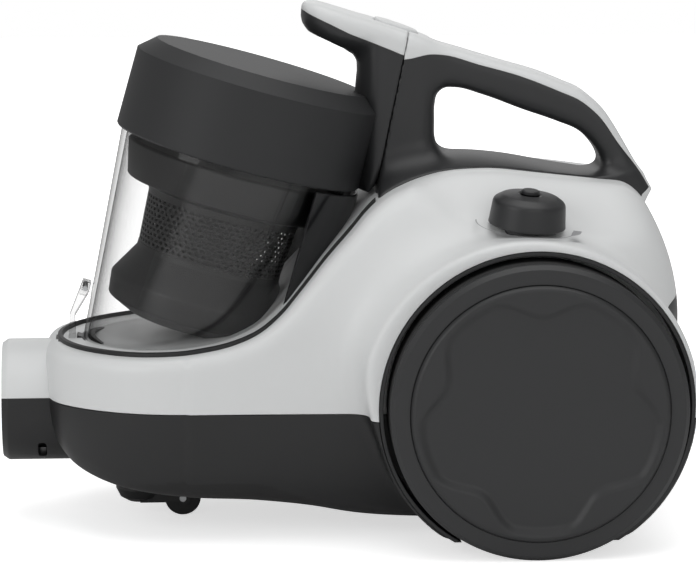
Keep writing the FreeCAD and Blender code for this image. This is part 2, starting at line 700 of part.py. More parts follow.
def button_space(grow):
    """The release button's pocket along the handle's top."""
    return placed(block(-19 - grow, 7 + grow, -8 - grow, 8 + grow, 7.5, 60), button_seat())


def bin_handle_cover():
    return largest(nose_block().common(cover_split()).cut(button_space(gap)))


def release_button():
    cap = [V(-19, -8, 9.3), V(7, -8, 9.3), V(7, -8, 12.4), V(4.5, -8, 14.4), V(-16, -8, 15.3), V(-19, -8, 14)]
    return one(placed(polygon_face(cap).extrude(V(0, 16, 0)), button_seat()))


# ---- wheels -------------------------------------------------------------------------------------------------
def wheel(side):
    """A moulded road wheel: hub, web, rim and an outer face ring that the hub cap sits in."""
    r, y0, y1 = wheel_radius, wheel_inner_y, wheel_outer_y
    lip = cap_radius + gap
    body = revolved([(axle_radius + running, y0), (hub_radius, y0), (hub_radius, y0 + 9), (r - 9, y0 + 9),
                     (r - 9, y0), (r - 3.2, y0), (r - 3.2, y1 - 8), (r, y1 - 8), (r, y1 - 2.5), (r - 2.5, y1),
                     (lip, y1), (lip, y1 - 5), (r - 15, y1 - 5), (r - 15, y0 + 12), (hub_radius, y0 + 12),
                     (hub_radius, y0 + 20), (axle_radius + running, y0 + 20)])
    return one(about_wheel(body, side))


def tyre(side):
    """The soft tread round the wheel, inboard of its face ring."""
    r, y0, y1 = wheel_radius, wheel_inner_y, wheel_outer_y
    ring = revolved([(r - 3.1, y0), (r - 1.2, y0), (r, y0 + 1.2), (r, y1 - 8.2), (r - 3.1, y1 - 8.2)])
    return one(about_wheel(ring, side))


def hub_cap(side):
    """The disc over the wheel's middle, with a wavy-edged dish of five tongues."""
    y1 = wheel_outer_y
    disc = revolved([(0, y1 - 4.8), (cap_radius, y1 - 4.8), (cap_radius, y1 + 0.4), (cap_radius - 2.5, y1 + 2.6),
                     (cap_radius - 7, y1 + 3), (0, y1 + 3)])
    dish = Part.makeCylinder(cap_radius - 7.2, 6, V(0, 0, y1 + 0.8))
    for x, y, a in ring_of(5, 102.0):
        dish = dish.cut(Part.makeCylinder(47.8, 12, V(x, y, y1 - 2)))
    dish = placed(dish, Placement(V(0, 0, 0), Rotation(UP, -90.0 * side)))
    return one(about_wheel(disc.cut(dish), side))


def axle(side):
    """A fixed stub axle with a flange inside the casing."""
    start = side_half_width - wall - 3.4
    end = wheel_inner_y + 20.5
    body = revolved([(0, start - 3), (12, start - 3), (12, start), (axle_radius, start), (axle_radius, end), (0, end)])
    body = body.cut(Part.makeCylinder(1.8, 20, V(0, 0, end - 14)))
    return one(about_wheel(body, side))


def wheel_retainer(side):
    """The washer and screw that keep the wheel on its axle."""
    end = wheel_inner_y + 20.5
    body = revolved([(0, end - 13), (1.7, end - 13), (1.7, end + 0.05), (9, end + 0.05), (9, end + 1.6),
                     (4, end + 1.6), (4, end + 3.6), (0, end + 3.6)])
    return one(about_wheel(body, side))


# ---- caster -------------------------------------------------------------------------------------------------
def caster_fork():
    """A domed swivel pod with two cheeks that trail the wheel."""
    top, r = caster_top_z, caster_dome_radius
    pod = revolved([(0, 8.4), (r - 7, 8.4), (r - 2.5, 11), (r, 16), (r, top), (0, top)])
    wheel_at = V(caster_trail, 0, caster_wheel_radius)
    half = caster_wheel_width / 2 + 0.4
    for y in (-half - 2.6, half):
        arm = block(0, caster_trail, y, y + 2.6, caster_wheel_radius - 2.2, caster_wheel_radius + 7)
        pod = pod.fuse(arm).fuse(Part.makeCylinder(4.4, 2.6, V(wheel_at.x, y, wheel_at.z), Y))
    pod = pod.cut(Part.makeCylinder(caster_wheel_radius + 0.7, 2 * half, V(wheel_at.x, -half, wheel_at.z), Y))
    pod = pod.cut(Part.makeCylinder(2.05, 60, V(wheel_at.x, -30, wheel_at.z), Y))
    pod = pod.cut(Part.makeCylinder(caster_pin_radius + 0.02, 60, V(0, 0, 14)))
    return one(pod.translated(V(caster_x, 0, 0)))


def caster_pin():
    """The swivel pin with its retaining head above the casing's boss."""
    head_z = caster_top_z + gap + caster_boss + gap
    pin = revolved([(0, 14.1), (caster_pin_radius, 14.1), (caster_pin_radius, head_z), (6, head_z),
                    (6, head_z + 2), (0, head_z + 2)])
    return one(pin.translated(V(caster_x, 0, 0)))


def caster_wheel():
    r, half = caster_wheel_radius, caster_wheel_width / 2
    body = revolved([(2 + running, -half), (r - 1, -half), (r, -half + 1), (r, half - 1), (r - 1, half),
                     (2 + running, half)])
    return one(placed(body, Placement(V(caster_x + caster_trail, 0, r), Rotation(UP, Y))))


def caster_axle():
    length = caster_wheel_width + 6
    return Part.makeCylinder(2, length, V(caster_x + caster_trail, -length / 2, caster_wheel_radius), Y)


# ---- power unit ---------------------------------------------------------------------------------------------
def chassis():
    """A tray with two upright plates that carry the motor and the cord reel."""
    tray = block(wheel_x - 50, wheel_x + 30, plate_y[0], 56, tray_z, tray_z + 3)
    for y in plate_y:
        plate = block(wheel_x - 48, wheel_x + 30, y, y + plate_thick, tray_z, power_z + 54)
        tray = tray.fuse(plate)
    for x, y in chassis_feet():
        tray = tray.cut(Part.makeCylinder(2.2, 20, V(x, y, tray_z - 5)))
    tray = tray.cut(Part.makeCylinder(18, 6, V(wheel_x, plate_y[0] - 1, power_z), Y))
    return one(tray.cut(Part.makeCylinder(boss_radius + 0.05, 6, V(wheel_x, plate_y[1] - 1, power_z), Y)))


def chassis_screws():
    screws = []
    for x, y in chassis_feet():
        head = tray_z + 3.05
        screw = revolved([(0, head - 6.5), (1.7, head - 6.5), (1.7, head), (4, head), (4, head + 2), (0, head + 2)])
        screws.append(screw.translated(V(x, y, 0)))
    return Part.Compound(screws)


def motor_housing():
    r, y0, y1 = motor_radius, motor_front_y, motor_back_y
    bore = motor_shaft_radius + running
    can = revolved([(bore, y0), (fan_cover_radius, y0), (fan_cover_radius, y0 + 2), (r, y0 + 2), (r, y1),
                    (boss_radius, y1), (boss_radius, y1 + 6.8), (0, y1 + 6.8), (0, y1 + 5), (bore, y1 + 5),
                    (bore, y1 - 3), (r - 2.5, y1 - 3), (r - 2.5, y0 + 3), (bore, y0 + 3)])
    can = about_motor(can)
    for x, y, a in ring_of(8, 30):
        can = can.cut(about_motor(Part.makeCylinder(5, 8, V(x, y, y1 - 6))))
    return one(can)


def stator():
    return one(about_motor(tube(motor_radius - 2.6, 26, 34, V(0, 0, motor_front_y + 8), UP)))


def rotor():
    """The motor's shaft with its armature and the suction fan."""
    r, y0, y1 = motor_shaft_radius, motor_front_y, motor_back_y
    shaft = revolved([(0, y0 - 13), (r, y0 - 13), (r, y0 + 8), (24, y0 + 8), (24, y0 + 42), (r, y0 + 42),
                      (r, y1 + 4.5), (0, y1 + 4.5)])
    fan = tube(44, r, 1.5, V(0, 0, y0 - 4), UP).fuse(Part.makeCylinder(9, 9, V(0, 0, y0 - 12)))
    for x, y, a in ring_of(9, 1.0):
        blade = block(8, 43, -0.8, 0.8, y0 - 12, y0 - 3)
        fan = fan.fuse(placed(blade, Placement(V(0, 0, 0), Rotation(UP, a))))
    return one(about_motor(shaft.fuse(fan)))


def fan_cover():
    r, y0 = fan_cover_radius, motor_front_y
    cup = revolved([(16, y0 - 18.6), (r, y0 - 18.6), (r, y0 - 0.05), (r - 2, y0 - 0.05), (r - 2, y0 - 16.6),
                    (16, y0 - 16.6)])
    for x, y, a in ring_of(6, 1.0):
        slot = block(r - 8, r + 4, -8, 8, y0 - 10, y0 - 4)
        cup = cup.cut(placed(slot, Placement(V(0, 0, 0), Rotation(UP, a))))
    return one(about_motor(cup))


def reel_spindle():
    y = plate_y[1] + plate_thick + 0.05
    return one(about_motor(revolved([(0, y), (22, y), (22, y + 2), (5, y + 2), (5, y + 45), (0, y + 45)])))


def cord_reel():
    """The drum that winds the cord, with a ribbed front flange."""
    y0, y1, r = reel_front_y, reel_front_y + reel_width, reel_radius
    drum = revolved([(5 + running, y0), (r, y0), (r, y0 + 2), (24, y0 + 2), (24, y1 - 2), (r, y1 - 2), (r, y1),
                     (20, y1), (20, y0 + 6), (5 + running, y0 + 6)])
    return one(about_motor(drum))


def control_board():
    z = power_z + 54.05
    board = block(wheel_x - 40, wheel_x + 22, plate_y[0], plate_y[0] + 34, z, z + 1.6)
    board = board.fuse(block(wheel_x - 30, wheel_x - 14, -54, -42, z + 1.6, z + 11))
    return one(board.fuse(block(wheel_x - 4, wheel_x + 16, -56, -36, z + 1.6, z + 7)))


# ---- rear ---------------------------------------------------------------------------------------------------
outlet_z = 118.0


def rear_grille():
    """The recessed exhaust panel with its slots, and the frame behind it that holds the filter."""
    panel = envelope(1.6).cut(envelope(1.6 + wall)).common(grille_window(gap))
    for z in (90, 95.5, 101):
        for y in range(-42, 43, 12):
            panel = panel.cut(block(rx(60), REAR + 5, y - 4, y + 4, z - 1.2, z + 1.2))
    panel = panel.cut(Part.makeCylinder(9.2, 60, V(rx(30), 0, outlet_z), X))
    frame = block(rx(30), REAR, -46, 46, seam_z + 9, seam_z + 31)
    frame = frame.cut(block(rx(60), rx(-5), -44, 44, seam_z + 11, seam_z + 29))
    return largest(panel.fuse(frame.common(envelope(1.7))))


def exhaust_filter():
    return block(rx(29.5), rx(16), -43.7, 43.7, seam_z + 11.3, seam_z + 28.7)


def cord_outlet():
    """The rounded ring that the cord passes through."""
    ring = revolved([(4, 0), (9, 0), (9, 12), (8.2, 14.5), (6.4, 16), (5, 15.4), (4, 14)])
    return one(placed(ring, Placement(V(rx(16), 0, outlet_z), Rotation(UP, X))))


# ---- controls -----------------------------------------------------------------------------------------------
def power_knob():
    r, h = knob_radius, knob_height
    knob = revolved([(r - 2.5, 0.5), (r, 0.5), (r, h - 8), (r - 1.6, h - 4.5), (r - 6, h - 1), (r - 10, h),
                     (5.4, h), (5.4, h - 3), (0, h - 3), (0, -18), (stem_radius, -18), (stem_radius, h - 6),
                     (r - 6.5, h - 6), (r - 2.5, h - 9)])
    return one(placed(knob, dial_place(-1)))


def power_button():
    h = knob_height
    return one(placed(revolved([(0, h - 1.4), (5.1, h - 1.4), (5.1, h + 0.3), (4.4, h + 0.8), (0, h + 0.8)]),
                      dial_place(-1)))


def stem_guide(side):
    """The switch body under a dial, with the bore that its stem turns or slides in."""
    body = revolved([(stem_radius + running, -24), (guide_radius, -24), (guide_radius, -0.5),
                     (stem_radius + running, -0.5)])
    return one(placed(body, dial_place(side)))


def rewind_bezel():
    ring = revolved([(19.5, 0.05), (24, 0.05), (24, 4), (22, 7), (19.5, 7)])
    return one(placed(ring, dial_place(1)))


def rewind_button():
    cap = revolved([(0, -17), (stem_radius, -17), (stem_radius, 6.5), (16.5, 6.5), (16.5, 4.6), (19.2, 4.6),
                    (19.2, 10), (17, 12), (11, 13), (0, 13)])
    return one(placed(cap, dial_place(1)))


PARTS = {
    "upper_casing": upper_casing,
    "lower_casing": lower_casing,
    "wheel_arch_left": lambda: wheel_arch(-1),
    "wheel_arch_right": lambda: wheel_arch(1),
    "hose_socket": hose_socket,
    "inlet_duct": inlet_duct,
    "bin_cradle": bin_cradle,
    "handle_frame": handle_frame,
    "handle_cover": handle_cover,
    "bin_cup": bin_cup,
    "base_flap": base_flap,
    "flap_pin": flap_pin,
    "flap_seal": flap_seal,
    "flap_latch": flap_latch,
    "latch_pin": latch_pin,
    "shroud": shroud,
    "cyclone_cone": cyclone_cone,
    "lid_gasket": lid_gasket,
    "bin_lid": bin_lid,
    "filter_frame": filter_frame,
    "foam_filter": foam_filter,
    "bin_handle": bin_handle,
    "bin_handle_cover": bin_handle_cover,
    "release_button": release_button,
    "wheel_left": lambda: wheel(-1),
    "wheel_right": lambda: wheel(1),
    "tyre_left": lambda: tyre(-1),
    "tyre_right": lambda: tyre(1),
    "hub_cap_left": lambda: hub_cap(-1),
    "hub_cap_right": lambda: hub_cap(1),
    "axle_left": lambda: axle(-1),
    "axle_right": lambda: axle(1),
    "retainer_left": lambda: wheel_retainer(-1),
    "retainer_right": lambda: wheel_retainer(1),
    "caster_fork": caster_fork,
    "caster_pin": caster_pin,
    "caster_wheel": caster_wheel,
    "caster_axle": caster_axle,
    "chassis": chassis,
    "chassis_screws": chassis_screws,
    "motor_housing": motor_housing,
    "stator": stator,
    "rotor": rotor,
    "fan_cover": fan_cover,
    "reel_spindle": reel_spindle,
    "cord_reel": cord_reel,
    "control_board": control_board,
    "rear_grille": rear_grille,
    "exhaust_filter": exhaust_filter,
    "cord_outlet": cord_outlet,
    "power_knob": power_knob,
    "power_button": power_button,
    "knob_switch": lambda: stem_guide(-1),
    "rewind_guide": lambda: stem_guide(1),
    "rewind_bezel": rewind_bezel,
    "rewind_button": rewind_button,
}

if __name__ == "__main__":
    os.makedirs("parts", exist_ok=True)
    for name, make in PARTS.items():
        make().exportStep("parts/" + name + ".step")
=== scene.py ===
import json
import math

import bmesh
import bpy
import numpy as np
from mathutils import Matrix, Vector


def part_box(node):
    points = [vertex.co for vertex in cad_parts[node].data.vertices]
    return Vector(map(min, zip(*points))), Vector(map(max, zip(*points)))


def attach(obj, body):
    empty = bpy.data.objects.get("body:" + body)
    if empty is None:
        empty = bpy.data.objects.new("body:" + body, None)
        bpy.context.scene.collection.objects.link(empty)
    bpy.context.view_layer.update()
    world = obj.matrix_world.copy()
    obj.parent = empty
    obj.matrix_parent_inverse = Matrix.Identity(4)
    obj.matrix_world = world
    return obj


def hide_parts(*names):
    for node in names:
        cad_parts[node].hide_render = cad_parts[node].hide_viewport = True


# Looks for the canister vacuum cleaner. Lengths below are in millimetres until a mesh is made.
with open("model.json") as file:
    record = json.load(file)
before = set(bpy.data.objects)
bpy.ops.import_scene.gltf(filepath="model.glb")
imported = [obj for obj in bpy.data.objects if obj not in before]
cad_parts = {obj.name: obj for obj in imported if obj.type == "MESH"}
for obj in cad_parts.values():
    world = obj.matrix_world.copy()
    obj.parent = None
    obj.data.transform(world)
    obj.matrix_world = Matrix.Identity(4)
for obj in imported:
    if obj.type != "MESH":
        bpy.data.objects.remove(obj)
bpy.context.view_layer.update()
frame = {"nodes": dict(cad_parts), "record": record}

MM = 0.001
FRONT, REAR = -197.0, 197.0
SEAM = 76.5
WHEEL_X, WHEEL_Z = REAR - 94.5, 83.0
OUTER_Y = 131.0
BIN_TILT = math.radians(15.74)
LIFT_TILT = math.radians(11.7)
BIN_AT = (FRONT + 138.7, 0.0, 216.2)
KNOB_AT = (REAR - 97.5, 80.0, 180.5)


def fx(x):
    return FRONT + x


def rx(x):
    return REAR - x


# ---- materials ----------------------------------------------------------------------------------------------
def new_material(name):
    mat = bpy.data.materials.new(name)
    mat.use_nodes = True
    tree = mat.node_tree
    return mat, tree, tree.nodes["Principled BSDF"]


def node(tree, kind, **values):
    made = tree.nodes.new(kind)
    for key, value in values.items():
        if key in made.inputs:
            made.inputs[key].default_value = value
        else:
            setattr(made, key, value)
    return made


def plastic(name, color, rough, grain=900.0, grain_depth=0.00003, edge=0.0007, spec=0.5, mottle=0.06):
    """Moulded plastic: fine spark texture, slightly uneven gloss and softened edges."""
    mat, tree, bsdf = new_material(name)
    link = tree.links.new
    coords = node(tree, "ShaderNodeTexCoord")
    fine = node(tree, "ShaderNodeTexNoise", Scale=grain, Detail=3.0)
    broad = node(tree, "ShaderNodeTexNoise", Scale=9.0, Detail=2.0)
    link(coords.outputs["Object"], fine.inputs["Vector"])
    link(coords.outputs["Object"], broad.inputs["Vector"])
    tone = node(tree, "ShaderNodeMapRange", **{"To Min": 1 - mottle, "To Max": 1 + mottle})
    link(broad.outputs["Fac"], tone.inputs["Value"])
    mix = node(tree, "ShaderNodeVectorMath", operation="SCALE")
    mix.inputs[0].default_value = color
    link(tone.outputs["Result"], mix.inputs["Scale"])
    link(mix.outputs["Vector"], bsdf.inputs["Base Color"])
    gloss = node(tree, "ShaderNodeMapRange", **{"To Min": rough - 0.04, "To Max": rough + 0.04})
    link(fine.outputs["Fac"], gloss.inputs["Value"])
    link(gloss.outputs["Result"], bsdf.inputs["Roughness"])
    bevel = node(tree, "ShaderNodeBevel", samples=4, Radius=edge)
    bump = node(tree, "ShaderNodeBump", Strength=0.35, Distance=grain_depth)
    link(fine.outputs["Fac"], bump.inputs["Height"])
    link(bevel.outputs["Normal"], bump.inputs["Normal"])
    link(bump.outputs["Normal"], bsdf.inputs["Normal"])
    bsdf.inputs["Specular IOR Level"].default_value = spec
    return mat


def metal(name, color, rough):
    mat = plastic(name, color, rough, grain=400, edge=0.0003)
    mat.node_tree.nodes["Principled BSDF"].inputs["Metallic"].default_value = 1.0
    return mat


def clear(name, tint=(0.93, 0.95, 0.95), rough=0.02):
    """Clear moulded plastic: mostly see-through, with a Fresnel sheen and a faint haze."""
    mat, tree, bsdf = new_material(name)
    link = tree.links.new
    out = tree.nodes["Material Output"]
    tree.nodes.remove(bsdf)
    seen = node(tree, "ShaderNodeBsdfTransparent")
    wall = node(tree, "ShaderNodeMapRange", **{"To Min": tint[0], "To Max": tint[0] * 0.35})
    turned = node(tree, "ShaderNodeMath", operation="POWER")
    turned.inputs[1].default_value = 3.0
    shine = node(tree, "ShaderNodeBsdfGlossy", Roughness=rough)
    haze = node(tree, "ShaderNodeTexNoise", Scale=60.0, Detail=3.0)
    coords = node(tree, "ShaderNodeTexCoord")
    link(coords.outputs["Object"], haze.inputs["Vector"])
    bump = node(tree, "ShaderNodeBump", Strength=0.05, Distance=0.0002)
    link(haze.outputs["Fac"], bump.inputs["Height"])
    edge = node(tree, "ShaderNodeLayerWeight", Blend=0.5)
    steep = node(tree, "ShaderNodeMath", operation="POWER")
    steep.inputs[1].default_value = 4.0
    fresnel = node(tree, "ShaderNodeMapRange", **{"To Min": 0.03, "To Max": 0.14})
    link(bump.outputs["Normal"], shine.inputs["Normal"])
    link(edge.outputs["Facing"], steep.inputs[0])
    link(edge.outputs["Facing"], turned.inputs[0])
    link(turned.outputs[0], wall.inputs["Value"])
    link(wall.outputs["Result"], seen.inputs["Color"])
    link(steep.outputs[0], fresnel.inputs["Value"])
    mix = node(tree, "ShaderNodeMixShader")
    link(fresnel.outputs["Result"], mix.inputs[0])
    link(seen.outputs["BSDF"], mix.inputs[1])
    link(shine.outputs["BSDF"], mix.inputs[2])
    link(mix.outputs["Shader"], out.inputs["Surface"])
    return mat


MAT = {
    "light": plastic("light_satin_plastic", (0.70, 0.71, 0.71), 0.42, mottle=0.015),
    "dark": plastic("charcoal_satin_plastic", (0.019, 0.0195, 0.0205), 0.42, mottle=0.05),
    "lid": plastic("lid_satin_plastic", (0.022, 0.0225, 0.0235), 0.55, spec=0.4, mottle=0.05),
    "wheel": plastic("wheel_satin_plastic", (0.021, 0.0215, 0.0225), 0.45, mottle=0.06),
    "gloss": plastic("gloss_black_plastic", (0.008, 0.008, 0.009), 0.16, grain=300, grain_depth=0.00001),
    "screen": plastic("screen_plastic", (0.0035, 0.0035, 0.0038), 0.42, grain=300, grain_depth=0.000004,
    mottle=0.05),
    "lower": plastic("lower_satin_plastic", (0.0095, 0.0097, 0.0102), 0.45, mottle=0.05),
    "handle": plastic("handle_satin_plastic", (0.020, 0.0205, 0.0215), 0.42, mottle=0.05),
    "rubber": plastic("tread_rubber", (0.016, 0.016, 0.016), 0.75, grain=500, grain_depth=0.00008),
    "inner": plastic("inner_grey_plastic", (0.06, 0.06, 0.063), 0.5),
    "steel": metal("bright_steel", (0.56, 0.57, 0.58), 0.28),
    "copper": metal("lacquered_winding", (0.5, 0.22, 0.1), 0.35),
    "board": plastic("board_laminate", (0.02, 0.11, 0.05), 0.4),
    "foam": plastic("filter_foam", (0.55, 0.55, 0.5), 0.9, grain=1400, grain_depth=0.0006, mottle=0.12),
    "grey": plastic("light_grey_mark", (0.30, 0.30, 0.31), 0.45),
    "clear": clear("clear_plastic"),
    "latch": clear("clear_latch_plastic", (0.78, 0.8, 0.8), 0.08),
}
SLOT_MATERIAL = {
    "light_casing": "light", "dark_casing": "dark", "wheel_plastic": "wheel", "tread": "rubber",
    "clear_plastic": "clear", "screen_plastic": "screen", "inner_plastic": "inner", "steel": "steel",
    "winding": "copper", "board": "board", "filter_media": "foam", "seal_rubber": "rubber",
    "knob_plastic": "dark",
}
NODE_MATERIAL = {"bin_lid": "lid", "flap_latch": "latch", "bin_cradle": "gloss", "hose_socket": "lower",
                 "caster_fork": "lower", "caster_wheel": "lower"}


# ---- mesh tools ---------------------------------------------------------------------------------------------
def make_object(name, verts, faces, mat, sharp=None):
    """A mesh object from points in millimetres."""
    mesh = bpy.data.meshes.new(name)
    mesh.from_pydata([tuple(v) for v in np.asarray(verts, float) * MM], [], [tuple(f) for f in faces])
    mesh.validate()
    mesh.update()
    mesh.polygons.foreach_set("use_smooth", [True] * len(mesh.polygons))
    if sharp is not None:
        mesh.set_sharp_from_angle(angle=math.radians(sharp))
    if mat:
        mesh.materials.append(MAT[mat])
    obj = bpy.data.objects.new(name, mesh)
    bpy.context.scene.collection.objects.link(obj)
    return obj


def piece(obj, body, slot, *nodes):
    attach(obj, body)
    if nodes:
        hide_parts(*nodes)
    return obj


def rounded(points, closed=True, steps=5):
    """A polyline with filleted corners. Each point is (a, b) or (a, b, radius)."""
    pts = [(float(p[0]), float(p[1]), float(p[2]) if len(p) > 2 else 0.0) for p in points]
    out, n = [], len(points)
    for i, (a, b, rad) in enumerate(pts):
        if rad <= 0 or (not closed and i in (0, n - 1)):
            out.append((a, b))
            continue
        here = np.array([a, b])
        u = np.array(pts[i - 1][:2]) - here
        v = np.array(pts[(i + 1) % n][:2]) - here
        lu, lv = np.linalg.norm(u), np.linalg.norm(v)
        u, v = u / lu, v / lv
        half = math.acos(max(-1, min(1, float(u @ v)))) / 2
        cut = min(rad / math.tan(half), 0.48 * lu, 0.48 * lv) if half > 1e-3 else 0
        p0, p2 = here + u * cut, here + v * cut
        for k in range(steps + 1):
            t = k / steps
            out.append(tuple((1 - t) ** 2 * p0 + 2 * t * (1 - t) * here + t * t * p2))
    return out


def lathe(name, profile, place, mat, segments=128, closed=True, arc=(0.0, 360.0), sharp=32):
    """Turns a profile of (radius, height, corner radius) about local Z and puts it in place."""
    line = rounded(profile, closed)
    a0, a1 = math.radians(arc[0]), math.radians(arc[1])
    full = arc[1] - arc[0] >= 359.9
    count = segments if full else segments + 1
    angles = [a0 + (a1 - a0) * i / segments for i in range(count)]
    verts = [(r * math.cos(a), r * math.sin(a), h) for a in angles for r, h in line]
    m, faces = len(line), []
    for i in range(segments):
        j = (i + 1) % count
        for k in range(m if closed else m - 1):
            l = (k + 1) % m
            faces.append((i * m + k, j * m + k, j * m + l, i * m + l))
    if not full and closed:
        faces += [tuple(range(m - 1, -1, -1)), tuple(range((count - 1) * m, count * m))]
    obj = make_object(name, verts, faces, mat)
    work = bmesh.new()
    work.from_mesh(obj.data)
    bmesh.ops.remove_doubles(work, verts=work.verts, dist=1e-6)
    bmesh.ops.recalc_face_normals(work, faces=work.faces)
    work.to_mesh(obj.data)
    work.free()
    obj.data.transform(place_matrix(place))
    obj.data.polygons.foreach_set("use_smooth", [True] * len(obj.data.polygons))
    obj.data.set_sharp_from_angle(angle=math.radians(sharp))
    return obj


def place_matrix(place):
    """A 4x4 matrix in metres from (origin in mm, rotation matrix)."""
    origin, turn = place
    return Matrix.Translation(Vector(origin) * MM) @ turn.to_4x4()


def bin_frame():
    return BIN_AT, Matrix.Rotation(BIN_TILT, 3, "Y")


def wheel_frame(side):
    turn = Matrix(((1, 0, 0), (0, 0, side), (0, -side, 0))) if side > 0 else Matrix(((1, 0, 0), (0, 0, -1),
        (0, 1, 0)))
    return (WHEEL_X, 0, WHEEL_Z), turn


def x_frame(x, z):
    """Local Z along +X."""
    return (x, 0, z), Matrix(((0, 0, 1), (0, 1, 0), (-1, 0, 0)))


def dial_frame(side):
    turn = Matrix.Rotation(math.radians(5.0), 3, "Y") @ Matrix.Rotation(math.radians(-6.0 * side), 3, "X")
    return (KNOB_AT[0], side * KNOB_AT[1], KNOB_AT[2]), turn


def smin(a, b, k):
    h = np.maximum(k - np.abs(a - b), 0) / k
    return np.minimum(a, b) - h * h * k / 4


def smax(a, b, k):
    return -smin(-a, -b, k)


def ramp(x, lo, hi):
    t = np.clip((x - lo) / (hi - lo), 0, 1)
    return t * t * (3 - 2 * t)


def curve_through(points, per=10, closed=False):
    """Points along a smooth curve through the given ones."""
    p = np.asarray(points, float)
    n = len(p)
    out = []
    for i in range(n if closed else n - 1):
        a, b = p[i], p[(i + 1) % n]
        before = p[i - 1] if (closed or i > 0) else 2 * a - b
        after = p[(i + 2) % n] if (closed or i + 2 < n) else 2 * b - a
        span, pre, post = np.linalg.norm(b - a), np.linalg.norm(a - before), np.linalg.norm(after - b)
        ta = span * ((a - before) / pre * span + (b - a) / span * pre) / (pre + span)
        tb = span * ((b - a) / span * post + (after - b) / post * span) / (span + post)
        for k in range(per):
            t = k / per
            out.append((2 * t ** 3 - 3 * t * t + 1) * a + (t ** 3 - 2 * t * t + t) * ta
                       + (3 * t * t - 2 * t ** 3) * b + (t ** 3 - t * t) * tb)
    if not closed:
        out.append(p[-1])
    return np.array(out)


def along(points, x):
    """Smooth height at x of a line through (x, height) points."""
    c = curve_through(points, 12)
    return np.interp(x, c[:, 0], c[:, 1])


def outline_distance(px, pz, outline):
    """Signed distance to a closed outline in a plane, negative inside."""
    shape = np.shape(px)
    p = np.stack([np.ravel(px), np.ravel(pz)], 1)
    best = np.full(len(p), 1e9)
    inside = np.zeros(len(p), bool)
    q = np.asarray(outline, float)
    for a, b in zip(q, np.roll(q, -1, 0)):
        e, w = b - a, p - a
        t = np.clip((w @ e) / max(e @ e, 1e-12), 0, 1)
        best = np.minimum(best, ((w - t[:, None] * e) ** 2).sum(1))
        crosses = (a[1] > p[:, 1]) != (b[1] > p[:, 1])
        if a[1] != b[1]:
            inside ^= crosses & (p[:, 0] < (b[0] - a[0]) * (p[:, 1] - a[1]) / (b[1] - a[1]) + a[0])
    d = np.sqrt(best)
    return np.where(inside, -d, d).reshape(shape)


def skin(name, field, lo, hi, step, mat, sharp=None, settle=4):
    """A mesh of the surface where field(x, y, z) is zero: surface nets, settled onto the field."""
    axes = [np.arange(a, b + step, step) for a, b in zip(lo, hi)]
    grid = np.meshgrid(*axes, indexing="ij")
    f = field(*grid)
    inside = f < 0
    n = f.shape
    total = np.zeros((n[0] - 1, n[1] - 1, n[2] - 1, 3))
    count = np.zeros((n[0] - 1, n[1] - 1, n[2] - 1))
    edges = []
    for ax in range(3):
        a_cut = [slice(None)] * 3
        b_cut = [slice(None)] * 3
        a_cut[ax], b_cut[ax] = slice(0, -1), slice(1, None)
        fa, fb = f[tuple(a_cut)], f[tuple(b_cut)]
        cross = inside[tuple(a_cut)] != inside[tuple(b_cut)]
        at = np.argwhere(cross)
        o1, o2 = [k for k in range(3) if k != ax]
        ok = (at[:, o1] > 0) & (at[:, o1] < n[o1] - 1) & (at[:, o2] > 0) & (at[:, o2] < n[o2] - 1)
        at = at[ok]
        va, vb = fa[tuple(at.T)], fb[tuple(at.T)]
        point = np.stack([axes[k][at[:, k]] for k in range(3)], 1)
        point[:, ax] += step * va / (va - vb)
        cells = []
        for d1, d2 in ((0, 0), (-1, 0), (-1, -1), (0, -1)):
            c = at.copy()
            c[:, o1] += d1
            c[:, o2] += d2
            np.add.at(total, tuple(c.T), point)
            np.add.at(count, tuple(c.T), 1)
            cells.append(c)
        edges.append((ax, cells, va < 0))
    used = np.argwhere(count > 0)
    index = -np.ones(count.shape, int)
    index[tuple(used.T)] = np.arange(len(used))
    verts = total[tuple(used.T)] / count[tuple(used.T)][:, None]
    faces = []
    for ax, cells, starts_inside in edges:
        ids = np.stack([index[tuple(c.T)] for c in cells], 1)
        flip = starts_inside if ax != 1 else ~starts_inside
        ids[~flip] = ids[~flip][:, ::-1]
        faces.append(ids)
    for _ in range(settle):
        e = 0.2
        value = field(*verts.T)
        g = np.stack([(field(*(verts + d).T) - field(*(verts - d).T)) / (2 * e) for d in np.eye(3) * e], 1)
        size = np.maximum((g * g).sum(1), 0.05)
        verts -= np.clip(value / size, -step / 2, step / 2)[:, None] * g
    return make_object(name, verts, np.concatenate(faces), mat, sharp)


def carve(obj, cutters, operation="DIFFERENCE", solver="EXACT"):
    """Applies a boolean with each cutter and removes the cutters."""
    for cutter in cutters:
        mod = obj.modifiers.new("cut", "BOOLEAN")
        mod.operation, mod.solver, mod.object = operation, solver, cutter
        bpy.context.view_layer.update()
        done = bpy.data.meshes.new_from_object(obj.evaluated_get(bpy.context.evaluated_depsgraph_get()))
        obj.modifiers.clear()
        obj.data = done
        bpy.data.objects.remove(cutter)
    return obj


def finish_edges(obj, angle=35):
    obj.data.polygons.foreach_set("use_smooth", [True] * len(obj.data.polygons))
    obj.data.set_sharp_from_angle(angle=math.radians(angle))
    return obj


def prism(name, outline, z0, z1):
    """A closed upright prism over a plan outline."""
    n = len(outline)
    verts = [(x, y, z) for z in (z0, z1) for x, y in outline]
    faces = [tuple(range(n - 1, -1, -1)), tuple(range(n, 2 * n))]
    faces += [(i, (i + 1) % n, n + (i + 1) % n, n + i) for i in range(n)]
    return make_object(name, verts, faces, None)


